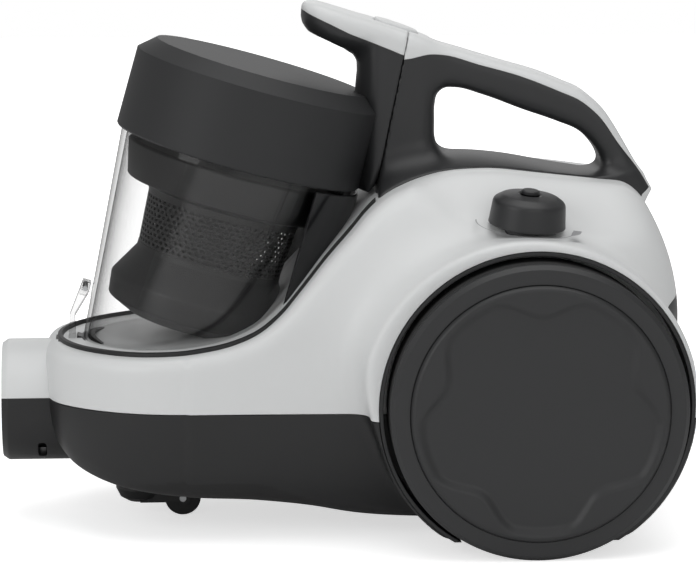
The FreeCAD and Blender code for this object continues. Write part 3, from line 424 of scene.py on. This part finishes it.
def half_copy(obj, name, z, keep_above, mat):
    """The part of a closed mesh above or below a level plane, capped."""
    mesh = obj.data.copy()
    work = bmesh.new()
    work.from_mesh(mesh)
    geom = work.verts[:] + work.edges[:] + work.faces[:]
    cut = bmesh.ops.bisect_plane(work, geom=geom, plane_co=(0, 0, z * MM), plane_no=(0, 0, 1),
                                 clear_inner=keep_above, clear_outer=not keep_above)
    rim = [e for e in cut["geom_cut"] if isinstance(e, bmesh.types.BMEdge)]
    bmesh.ops.triangle_fill(work, edges=rim, use_beauty=False)
    work.to_mesh(mesh)
    work.free()
    mesh.materials.clear()
    mesh.materials.append(MAT[mat])
    half = bpy.data.objects.new(name, mesh)
    bpy.context.scene.collection.objects.link(half)
    return half


# ---- body ---------------------------------------------------------------------------------------------------
RIM_LINE = [(fx(0), 106.3), (fx(50), 106.3), (fx(86), 107.3), (fx(113), 110), (fx(131), 114),
    (fx(146), 120.5),
            (fx(158), 130), (fx(170), 143.5), (fx(184), 160), (fx(199), 175.5), (fx(209), 186),
            (fx(217), 192.5),
            (fx(232), 200), (fx(250), 205.2), (fx(275), 207.0), (fx(312), 203.5), (fx(340), 200),
            (fx(365), 196),
            (fx(378), 190), (fx(388), 180), (fx(396), 166)]
FLOOR_LINE = [(fx(0), 96), (fx(22), 66), (fx(25.5), 56), (fx(31), 46.5), (fx(39), 40), (fx(50), 34.8),
    (fx(68), 29.5), (fx(85), 26.4),
              (fx(113), 22.6), (fx(147), 19.8), (fx(177), 16), (fx(199), 11.6), (fx(225), 8.6),
              (fx(300), 8),
              (fx(340), 10), (fx(365), 19), (fx(385), 42), (fx(396), 76)]


def body_field(x, y, z):
    ay = np.abs(y)
    nose = smax(np.hypot(x - fx(106), ay) - 88.8, fx(24.6) - x, 12)
    side_w = 90 + 3.0 * ramp(x, fx(120), fx(250))
    side = np.where(x < fx(106), nose, ay - side_w)
    rear = x - (194.6 - 13 * (ay / 88) ** 2)
    plan = smax(side, rear, 36)
    low = np.maximum(SEAM - z, 0)
    high = np.maximum(z - 122, 0)
    plan = plan + 16 * (low / 58) ** 2 + 17 * (high / 60) ** 2
    drop = (along(FLOOR_LINE, x + 1) - along(FLOOR_LINE, x - 1)) / 2
    bottom = (along(FLOOR_LINE, x) - z) / np.sqrt(1 + drop * drop)
    d = smax(plan, bottom, 11 + 13 * ramp(x, fx(60), fx(150)))
    rim = along(RIM_LINE, x)
    shoulder = KNOB_AT[2] - 0.105 * (ay - 80) - 0.087 * (x - KNOB_AT[0])
    shoulder = shoulder + 14 * ramp(x, fx(262), fx(225))
    crown = np.minimum(rim, shoulder)
    top = rim - (rim - crown) * ramp(ay, 42, 76)
    slope = (along(RIM_LINE, x + 1) - along(RIM_LINE, x - 1)) / 2
    d = smax(d, (z - top) / np.sqrt(1 + slope * slope), 9)
    dx, dz = x - WHEEL_X, z - WHEEL_Z
    r = np.hypot(dx, dz) + 1e-6
    cos, sin = dx / r, dz / r
    above = ramp(sin, -0.3, 0.35)
    reach = 90 + (5 - 4 * cos - 1.2 * np.maximum(sin, 0) ** 2) * above
    lip = smax(smax(r - reach, ay - 115.6, 5), 70 - ay, 5)
    blend = 6 + 22 * ramp(-cos, 0.0, 0.8) * above
    d = smin(d, lip, blend)
    d = smax(d, x - 194.4, 4)
    return smax(d, 8 - z, 4)


def rim_outline(inset=0.0):
    ring, cx = 81.0 - inset, fx(113)
    side = [(cx - ring * math.cos(math.radians(a)), ring * math.sin(math.radians(a))) for a in (12, 25, 38,
        50, 61, 72, 82, 92)]
    side += [(fx(133), ring), (fx(150), ring - 1), (fx(172), ring - 7.5), (fx(200), 58 - inset),
        (fx(216), 47 - inset),
             (fx(245), 38 - inset), (rx(119), 33 - inset), (rx(54), 27 - inset), (rx(38), 22.5 - inset),
             (rx(30), 14 - inset)]
    points = [(cx - ring, 0)] + side + [(rx(27) - inset, 0)] + [(x, -y) for x, y in reversed(side)]
    return curve_through(points, 8, closed=True)


def side_block(name, outline, half):
    """A closed prism across the machine over an outline in side view."""
    n = len(outline)
    verts = [(a, y, b) for y in (-half, half) for a, b in outline]
    faces = [tuple(range(n)), tuple(range(2 * n - 1, n - 1, -1))]
    faces += [(i, n + i, n + (i + 1) % n, (i + 1) % n) for i in range(n)]
    obj = make_object(name, verts, faces, None)
    work = bmesh.new()
    work.from_mesh(obj.data)
    bmesh.ops.recalc_face_normals(work, faces=work.faces)
    work.to_mesh(obj.data)
    work.free()
    return obj


def shifted(points):
    return [(fx(p[0]), p[1]) for p in points]


def build_liner():
    """The black lip of the bin's seat, standing a little above the casing's rim."""
    outer, inner = np.array(rim_outline(0.0)), np.array(rim_outline(3.4))
    keep = outer[:, 0] < fx(214)
    order = np.concatenate([np.arange(len(outer))[len(outer) // 2:],
        np.arange(len(outer))[:len(outer) // 2]])
    order = [i for i in order if keep[i]]
    verts, faces = [], []
    for i in order:
        top = float(along(RIM_LINE, outer[i][0]))
        for (px, py), lift in ((outer[i], 0.2), (outer[i] * 0.92 + inner[i] * 0.08, 2.0),
            (outer[i] * 0.3 + inner[i] * 0.7, 2.5),
                               (inner[i], 0.3), (inner[i], -9.0), (outer[i] * 0.6 + inner[i] * 0.4, -9.0)):
            verts.append((px, py, top + lift))
    for k in range(len(order) - 1):
        for j in range(6):
            faces.append((k * 6 + j, k * 6 + (j + 1) % 6, k * 6 + 6 + (j + 1) % 6, k * 6 + 6 + j))
    faces += [tuple(range(5, -1, -1)), tuple(range(len(verts) - 6, len(verts)))]
    wall = lathe("bin_seat_back", [(71.4, -112), (73.2, -112), (73.2, -7, 1), (71.4, -7, 0.5)], bin_frame(),
        "gloss", 60, arc=(-52, 52))
    piece(wall, "housing", "dark_casing")
    obj = make_object("bin_seat_lip", verts, faces, "lower", 50)
    work = bmesh.new()
    work.from_mesh(obj.data)
    bmesh.ops.recalc_face_normals(work, faces=work.faces)
    work.to_mesh(obj.data)
    work.free()
    piece(obj, "housing", "dark_casing", "bin_cradle")


def build_body():
    hull = skin("casing_hull", body_field, (-190, -122, 2), (200, 122, 214), 2.6, None)
    cutters = [prism("rim_cut", rim_outline(), 34, 300)]
    for side in (-1, 1):
        arch = lathe("arch_cut", [(0, 93.2), (88.4, 93.2), (88.4, 140), (0, 140)], wheel_frame(side), None,
            160)
        cutters.append(arch)
        hole = lathe("stem_cut", [(0, -32), (12, -32), (12, 10), (0, 10)], dial_frame(side), None, 48)
        cutters.append(hole)
    cutters.append(lathe("socket_cut", [(0, -5), (28.9, -5), (28.9, 80), (0, 80)], x_frame(FRONT, 69.5),
        None, 96))
    panel = rounded([(-50, 84, 6), (50, 84, 6), (50, 132, 6), (-50, 132, 6)])
    verts = [(x, a, b) for x in (150, 210) for a, b in panel]
    n = len(panel)
    faces = [tuple(range(n)), tuple(range(2 * n - 1, n - 1, -1))] + [(i, n + i, n + (i + 1) % n,
        (i + 1) % n) for i in range(n)]
    cutters.append(make_object("panel_cut", verts, faces, None))
    carve(hull, cutters)
    upper = finish_edges(half_copy(hull, "upper_shell", SEAM + 0.25, True, "light"))
    lower = finish_edges(half_copy(hull, "lower_shell", SEAM - 0.25, False, "lower"))
    bpy.data.objects.remove(hull)
    side = shifted([(369, 78), (370.5, 130.5), (391, 139.5), (402, 139.5), (402, 78)])
    rear = upper.copy()
    rear.data = upper.data.copy()
    rear.name = "rear_panel"
    bpy.context.scene.collection.objects.link(rear)
    carve(rear, [side_block("rear_keep", side, 91.7)], "INTERSECT")
    carve(upper, [side_block("rear_cut", side, 92)])
    finish_edges(upper)
    finish_edges(rear)
    rear.data.materials.clear()
    rear.data.materials.append(MAT["lower"])
    for face in rear.data.polygons:
        face.material_index = 0
    line = np.array(rim_outline(-0.4))
    upper.data.materials.clear()
    lower.data.materials.clear()
    for obj, outer in ((upper, "light"), (lower, "lower")):
        obj.data.materials.append(MAT[outer])
        obj.data.materials.append(MAT["screen"])
        mid = np.array([f.center for f in obj.data.polygons]) / MM
        inner = (outline_distance(mid[:, 0], mid[:, 1], line) < 0) & (mid[:, 2] < along(RIM_LINE,
            mid[:, 0]) - 0.05)
        obj.data.polygons.foreach_set("material_index", inner.astype(np.int32))
    piece(rear, "housing", "dark_casing")
    piece(upper, "housing", "light_casing", "upper_casing")
    piece(lower, "housing", "dark_casing", "lower_casing")


def build_inlet():
    ring = [(28.9, 2.5, 0.8), (32.2, 0, 1.0), (33.0, 0, 1.5), (35.3, 3.4, 2.5), (35.3, 60), (28.9, 60)]
    theta = math.degrees(math.asin((SEAM - 69.5) / 35.3))
    for name, mat, arc, body_slot in (("inlet_upper", "light", (90 + theta, 270 - theta), "light_casing"),
                                      ("inlet_lower", "lower", (-90 - theta, 90 + theta), "dark_casing")):
        obj = lathe(name, ring, x_frame(FRONT, 69.5), mat, 96, arc=arc)
        if name == "inlet_lower":
            hole = rounded([(fx(20.5), 39, 2), (fx(25.5), 39, 2), (fx(25.5), 49, 2), (fx(20.5), 49, 2)])
            carve(obj, [side_block("dimple", hole, 60)])
            obj.data.materials.clear()
            obj.data.materials.append(MAT[mat])
            finish_edges(obj, 32)
        piece(obj, "housing", body_slot)


build_body()
build_liner()
build_inlet()

# ---- handles ------------------------------------------------------------------------------------------------
def flat(a, b, outline, through):
    """Distance to an outline in a plane, worked out once per column of a grid."""
    if np.ndim(a) == 3:
        pick = (slice(None), 0, slice(None)) if through == 1 else (slice(None), slice(None), 0)
        return np.expand_dims(outline_distance(a[pick], b[pick], outline), through) + np.zeros(a.shape)
    return outline_distance(a, b, outline)


def side_shape(x, z, outline):
    return flat(x, z, outline, 1)


HOLE = shifted(curve_through([(250.3, 198), (250.3, 215), (250.3, 232), (250.5, 242), (251.8, 247.5),
    (255.5, 250.8),
                              (262, 251.2), (278, 247), (301, 238.4), (322, 231), (333.6, 226),
                              (339.5, 221),
                              (345.4, 213.4), (348.8, 206), (348.6, 200), (345, 190)], 6))
COVER_LOW = [(224, 267.4), (231.5, 268.4)] + list(map(tuple, curve_through(
    [(236, 269), (247, 271.2), (254, 270.8), (275.8, 264.8), (299, 258.2), (322, 249.2), (333.7, 244),
        (344, 235.8),
     (357, 218.2), (369, 202.7), (375, 193)], 6)))
COVER_TOP = list(map(tuple, curve_through(
    [(222, 288.6), (232, 285.0), (240, 282.2), (246, 279.9), (250, 278.0), (266, 273), (289, 265.9),
        (313, 258.7), (327, 253), (336, 249),
     (342, 244.5), (348, 238.6), (354, 230.2), (360, 220.3), (366, 210), (372, 200), (377.5, 191.5)], 6)))
GRIP_SIDE = shifted(COVER_TOP + [(372, 182), (350, 184), (330, 188), (260, 194), (225, 184), (196, 170),
    (196, 292)])
BELOW_TRIM = shifted([(150, 268)] + COVER_LOW[1:] + [(370.5, 189), (369, 184), (369, 100), (150, 100)])
PADDLE_TOP = list(map(tuple, curve_through([(172.4, 296.6), (173.2, 299), (175.5, 300.6), (179, 300.8),
    (191, 297.6), (205, 293.2),
                                            (215, 290.4), (232, 285), (246, 280.4)], 6)))
PADDLE_LOW = [(246, 266), (231, 271.2), (224, 274.2), (212.6, 278.8), (201, 283.4), (189.7, 289),
    (178.3, 294.2)]
BELOW_PADDLE = shifted([(252, 265.5)] + PADDLE_LOW[1:] + [(174, 296.4), (160, 302), (150, 302), (150, 150),
    (252, 150)])
NOSE_SIDE = shifted(PADDLE_TOP + [(248, 266), (250, 236), (212, 191), (203, 192), (200, 236), (203.6, 250),
    (205.6, 260),
                     (205.4, 265), (203, 269.8), (198, 274), (190, 278.2), (178, 283.4), (173.5, 287.6),
                     (171.9, 291.5)])
BUTTON_SIDE = shifted([(215.6, 282), (215.6, 290.3), (217.2, 291.3), (224, 289.4), (233, 286.3),
    (240.8, 283.4), (242.3, 281.6), (242.3, 274)])
CROWN = [(fx(200), 188), (fx(206), 196), (fx(214), 203), (fx(228), 210), (fx(242), 213), (fx(252), 213.4),
    (fx(272), 213.2),
         (fx(290), 211.4), (fx(320), 205.6), (fx(347), 200.3), (fx(365), 196.4), (fx(380), 190)]
DECK_HALF = [(fx(196), 62), (fx(200), 58), (fx(216), 47), (fx(245), 38), (fx(275), 33), (fx(340), 28),
    (fx(362), 23), (fx(372), 15), (fx(380), 9)]
LIFT = (math.cos(LIFT_TILT), math.sin(LIFT_TILT))


def parting(x, z):
    """Distance behind the plane where the bin's handle meets the fixed one."""
    return (x - fx(213.5)) * LIFT[0] - (z - 181.6) * LIFT[1]


def deck_top(x, y):
    crown, rim = along(CROWN, x), along(RIM_LINE, x) + 0.2
    share = np.minimum(np.abs(y) / along(DECK_HALF, x), 1.1)
    return crown - (crown - rim) * share ** 2.1


def frame_field(x, y, z):
    ay = np.abs(y)
    half = 22 - 3.4 * ramp(x, fx(238), fx(264))
    grip = smax(side_shape(x, z, GRIP_SIDE), -side_shape(x, z, HOLE), 9)
    grip = smax(grip, ay - half, 9)
    top = deck_top(x, y)
    deck = smax(flat(x, y, DECK_PLAN, 2), (z - top) * 0.9, 1.5)
    deck = smax(deck, top - 7 - z, 2)
    d = smin(grip, deck, 13)
    d = smax(d, -button_room(x, y, z), 0.8)
    return smax(d, 0.35 - parting(x, z), 1.2)


def button_field(x, y, z, grow=0.0):
    plan = np.hypot(np.maximum(np.abs(x - fx(229)) - 4.5, 0), np.maximum(np.abs(y) - 1.5, 0)) - 8.7
    return smax(side_shape(x, z, BUTTON_SIDE), plan, 2.2) - grow


def button_room(x, y, z):
    """The recess round the release button, deep enough for its stroke."""
    return np.minimum(button_field(x, y, z, 0.5), button_field(x + 0.4, y, z + 1.8, 0.5))


def paddle_half(x):
    tip = 23.8 * np.sqrt(np.clip(1 - (np.maximum(fx(196) - x, 0) / 24.2) ** 2, 0.0, 1))
    return tip - 1.6 * ramp(x, fx(200), fx(231))


def lid_handle(x, y, z):
    tip = np.hypot(np.minimum(x - fx(196), 0), y) - 23.8
    side = np.where(x < fx(196), tip, np.abs(y) - paddle_half(x))
    d = smax(side_shape(x, z, NOSE_SIDE), side, 8)
    front = fx(204.6) + 8.5 * (y / 22) ** 2
    clear = smax(x - front, z - 268 - 0.02 * y * y, 5)
    d = smax(d, -clear, 5)
    d = smax(d, -button_room(x, y, z), 0.8)
    return smax(d, parting(x, z), 0.8)


DECK_PLAN = rim_outline(0.5)


def split_piece(whole, name, outline, operation, mat, half=70):
    """One side of a piece cut by a surface that runs straight across the machine."""
    part = whole.copy()
    part.data = whole.data.copy()
    part.name = name
    bpy.context.scene.collection.objects.link(part)
    carve(part, [side_block("cutter", outline, half)], operation)
    part.data.materials.clear()
    part.data.materials.append(MAT[mat])
    part.data.polygons.foreach_set("material_index", [0] * len(part.data.polygons))
    return finish_edges(part, 38)


def build_handles():
    fixed = skin("fixed_handle", frame_field, (fx(206), -62, 176), (fx(382), 62, 292), 1.6, None)
    piece(split_piece(fixed, "handle_frame_skin", BELOW_TRIM, "INTERSECT", "handle"), "housing",
        "dark_casing", "handle_frame")
    piece(split_piece(fixed, "handle_cover_skin", BELOW_TRIM, "DIFFERENCE", "light"), "housing",
        "light_casing", "handle_cover")
    bpy.data.objects.remove(fixed)
    loose = skin("lid_handle", lid_handle, (fx(168), -27, 186), (fx(240), 27, 304), 1.2, None)
    piece(split_piece(loose, "bin_handle_skin", BELOW_PADDLE, "INTERSECT", "handle"), "lid", "dark_casing",
        "bin_handle")
    piece(split_piece(loose, "bin_handle_cover_skin", BELOW_PADDLE, "DIFFERENCE", "light"), "lid",
        "light_casing", "bin_handle_cover")
    bpy.data.objects.remove(loose)
    piece(skin("release_button_skin", button_field, (fx(213), -13, 272), (fx(245), 13, 294), 0.8, "light",
        40), "release", "light_casing", "release_button")


# ---- wheels -------------------------------------------------------------------------------------------------
def build_hub_cap(side, name):
    rings = np.concatenate([np.linspace(0, 46, 10), np.linspace(47.5, 70.2, 34), [71, 71.6, 71.95, 72.0]])
    count = 360
    theta = np.radians(np.arange(count))
    off = np.degrees((theta - math.pi / 2 + math.pi / 5) % (2 * math.pi / 5) - math.pi / 5)
    bump = np.where(np.abs(off) < 24, (0.5 + 0.5 * np.cos(np.pi * off / 24)) ** 0.85, 0)
    edge = 66.2 - 11.5 * bump
    verts = []
    for r in rings:
        lower = 2.7 * ramp((edge - r), -3.2, 3.2) - 0.5 * ramp(46 - r, 0, 46)
        drop = 2.4 * max((r - 69.2) / 2.8, 0) ** 2
        z = OUTER_Y + 2.95 - lower - drop
        verts += list(zip(r * np.cos(theta), r * np.sin(theta), np.broadcast_to(z, theta.shape)))
    verts += [(70.5 * math.cos(t), 70.5 * math.sin(t), OUTER_Y - 1.5) for t in theta]
    rows = len(rings) + 1
    faces = [(i * count + j, (i + 1) * count + j, (i + 1) * count + (j + 1) % count,
        i * count + (j + 1) % count)
             for i in range(rows - 1) for j in range(count)]
    faces.append(tuple((rows - 1) * count + j for j in range(count)))
    obj = make_object(name + "_skin", verts, faces, "wheel")
    work = bmesh.new()
    work.from_mesh(obj.data)
    bmesh.ops.remove_doubles(work, verts=work.verts, dist=1e-6)
    bmesh.ops.recalc_face_normals(work, faces=work.faces)
    work.to_mesh(obj.data)
    work.free()
    obj.data.transform(place_matrix(wheel_frame(side)))
    finish_edges(obj, 40)
    return obj


def build_wheels():
    for side, name, body in ((-1, "hub_cap_left", "left_wheel"), (1, "hub_cap_right", "right_wheel")):
        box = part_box(name)
        near = -1 if box[0][1] < 0 else 1
        piece(build_hub_cap(near, name), body, "wheel_plastic", name)


# ---- shroud -------------------------------------------------------------------------------------------------
def build_shroud():
    place = bin_frame()
    upper = lathe("shroud_upper", [(44.4, -38), (45.2, -34, 1), (58.9, -31, 2), (63.8, -10.5, 1.5), (61,
        -9.5), (56.5, -28), (43.6, -31.5), (43.0, -38)], place, "screen", 128)
    lower = lathe("shroud_lower", [(42.6, -67), (42.6, -70, 2), (53, -88, 4), (51.5, -101, 3), (38, -107.5,
        3), (0, -108.3), (0, -106), (36, -105), (48.5, -99), (50, -89), (40.9, -71), (40.9, -67)], place,
        "screen", 128)
    cols, rows, wall = 66, 12, 1.0
    verts, faces = [], []
    top, bottom = -35.0, -69.0
    pitch_h = (top - bottom) / rows
    for row in range(rows):
        for col in range(cols):
            u0 = (col + 0.5 * (row % 2)) / cols
            h0 = bottom + (row + 0.5) * pitch_h
            base = len(verts)
            for depth in (0.0, wall):
                for size in (0.667, 0.36):
                    for k in range(6):
                        a = math.radians(60 * k + 30)
                        h = h0 + pitch_h * size * math.sin(a)
                        u = u0 + size * 0.866 * math.cos(a) * 2 / 1.732 / cols
                        r = 42.2 + (h - bottom) / (top - bottom) * 2.4 - depth
                        verts.append((r * math.cos(2 * math.pi * u), r * math.sin(2 * math.pi * u), h))
            for k in range(6):
                n = (k + 1) % 6
                faces.append((base + k, base + n, base + 6 + n, base + 6 + k))
                faces.append((base + 6 + k, base + 6 + n, base + 18 + n, base + 18 + k))
                faces.append((base + 12 + n, base + 12 + k, base + 18 + k, base + 18 + n))
    band = make_object("shroud_screen", verts, faces, "screen")
    work = bmesh.new()
    work.from_mesh(band.data)
    bmesh.ops.remove_doubles(work, verts=work.verts, dist=1e-5)
    bmesh.ops.recalc_face_normals(work, faces=work.faces)
    work.to_mesh(band.data)
    work.free()
    band.data.transform(place_matrix(place))
    finish_edges(band, 30)
    piece(band, "lid", "screen_plastic", "shroud")
    piece(upper, "lid", "screen_plastic")
    piece(lower, "lid", "screen_plastic")


def build_dial_mark():
    """A thin printed arc on the casing round the power knob, growing into a wedge at the rear."""
    verts, count, middle = [], 150, 28.6
    first_turn, swept, raised = 170, 182, 0.3
    for i in range(count + 1):
        turn = first_turn + swept * i / count
        a = math.radians(turn)
        half = 0.35 + 2.0 * float(ramp(turn, 322, 340))
        for r in (middle - half, middle + half):
            verts.append((r * math.cos(a), r * math.sin(a), raised))
    faces = [(2 * i, 2 * i + 1, 2 * i + 3, 2 * i + 2) for i in range(count)]
    ring = make_object("power_dial_mark", verts, faces, "grey")
    ring.data.transform(place_matrix(dial_frame(-1)))
    piece(ring, "housing", "light_casing")


def build_knob():
    """The turning knob with its domed top, open in the middle for the push button."""
    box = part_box("power_button")
    hole = (box[1][0] - box[0][0]) / 2 / MM + 0.35
    shape = [(hole, 17.9), (hole + 1.5, 18.4, 1), (15.5, 17.7, 5), (20.4, 14.6, 4), (21.5, 3, 4),
        (21.8, 0.9, 0.5), (21.0, 0.5), (hole, 0.5)]
    knob = lathe("power_knob_skin", shape, dial_frame(-1), "handle", 96)
    piece(knob, "knob", "knob_plastic", "power_knob")


build_handles()
build_knob()
build_wheels()
build_shroud()
build_dial_mark()

# ---- carried-over pieces get their own finish ------------------------------------------------------------------
for part in frame["record"]["subparts"]:
    held = frame["nodes"][part["node"]]
    held.data.materials.clear()
    held.data.materials.append(MAT[NODE_MATERIAL.get(part["node"], SLOT_MATERIAL[part["material_slot"]])])
    held.data.polygons.foreach_set("use_smooth", [True] * len(held.data.polygons))
    held.data.set_sharp_from_angle(angle=math.radians(32))

# ---- floor, light and camera --------------------------------------------------------------------------------
floor = make_object("floor", [(-3000, -3000, 0), (3000, -3000, 0), (3000, 3000, 0), (-3000, 3000, 0)],
    [(0, 1, 2, 3)], None)
floor_mat = plastic("pale_floor", (0.92, 0.92, 0.92), 0.8, mottle=0.005)
tree = floor_mat.node_tree
glow = node(tree, "ShaderNodeEmission", Color=(1, 1, 1, 1))
ray = node(tree, "ShaderNodeLightPath")
place = node(tree, "ShaderNodeTexCoord")
away = node(tree, "ShaderNodeVectorMath", operation="LENGTH")
fade = node(tree, "ShaderNodeMapRange", **{"From Min": 0.3, "From Max": 0.75, "To Min": 0.62,
    "To Max": 1.0})
seen_by = node(tree, "ShaderNodeMath", operation="MAXIMUM")
level = node(tree, "ShaderNodeMath", operation="MULTIPLY")
both = node(tree, "ShaderNodeAddShader")
tree.links.new(place.outputs["Object"], away.inputs[0])
tree.links.new(away.outputs["Value"], fade.inputs["Value"])
tree.links.new(ray.outputs["Is Camera Ray"], seen_by.inputs[0])
tree.links.new(ray.outputs["Is Transmission Ray"], seen_by.inputs[1])
tree.links.new(seen_by.outputs[0], level.inputs[0])
tree.links.new(fade.outputs["Result"], level.inputs[1])
tree.links.new(level.outputs[0], glow.inputs["Strength"])
tree.links.new(tree.nodes["Principled BSDF"].outputs[0], both.inputs[0])
tree.links.new(glow.outputs[0], both.inputs[1])
tree.links.new(both.outputs[0], tree.nodes["Material Output"].inputs["Surface"])
floor.data.materials.append(floor_mat)

world = bpy.data.worlds.new("studio")
bpy.context.scene.world = world
world.use_nodes = True
tree = world.node_tree
tree.nodes.clear()
out = node(tree, "ShaderNodeOutputWorld")
path = node(tree, "ShaderNodeLightPath")
white = node(tree, "ShaderNodeBackground", Color=(1, 1, 1, 1), Strength=1.0)
room = node(tree, "ShaderNodeBackground", Color=(1, 1, 1, 1), Strength=0.35)
pick = node(tree, "ShaderNodeMixShader")
seen = node(tree, "ShaderNodeMath", operation="MAXIMUM")
tree.links.new(path.outputs["Is Camera Ray"], seen.inputs[0])
tree.links.new(path.outputs["Is Transmission Ray"], seen.inputs[1])
tree.links.new(seen.outputs[0], pick.inputs[0])
tree.links.new(room.outputs[0], pick.inputs[1])
tree.links.new(white.outputs[0], pick.inputs[2])
tree.links.new(pick.outputs[0], out.inputs["Surface"])


def softbox(name, at, aim, size, power):
    light = bpy.data.lights.new(name, "AREA")
    light.shape, light.size, light.size_y, light.energy = "RECTANGLE", size[0], size[1], power
    obj = bpy.data.objects.new(name, light)
    bpy.context.scene.collection.objects.link(obj)
    obj.location = at
    obj.rotation_euler = (Vector(aim) - Vector(at)).to_track_quat("-Z", "Y").to_euler()
    return obj


softbox("top_box", (0.1, -0.2, 1.7), (0, 0, 0.1), (1.6, 1.6), 13)
softbox("front_box", (-1.5, -1.3, 0.9), (0, 0, 0.12), (1.0, 1.2), 9)
softbox("side_box", (0.6, -1.9, 0.8), (0, 0, 0.1), (1.6, 0.9), 5)
softbox("back_box", (0.3, 1.8, 1.0), (0, 0, 0.15), (1.5, 1.0), 4)

scene = bpy.context.scene
scene.view_settings.view_transform = "Standard"
az, el, distance = math.radians(3.63), math.radians(9.42), 1.99605
target = Vector((0.00429, 0, 0.13609))
back = Vector((-math.sin(az) * math.cos(el), -math.cos(az) * math.cos(el), math.sin(el)))
cam = bpy.data.cameras.new("camera")
cam.lens, cam.sensor_width = 176.97, 36.0
eye = bpy.data.objects.new("camera", cam)
scene.collection.objects.link(eye)
eye.location = target + back * distance
eye.rotation_euler = (-back).to_track_quat("-Z", "Y").to_euler()
scene.camera = eye
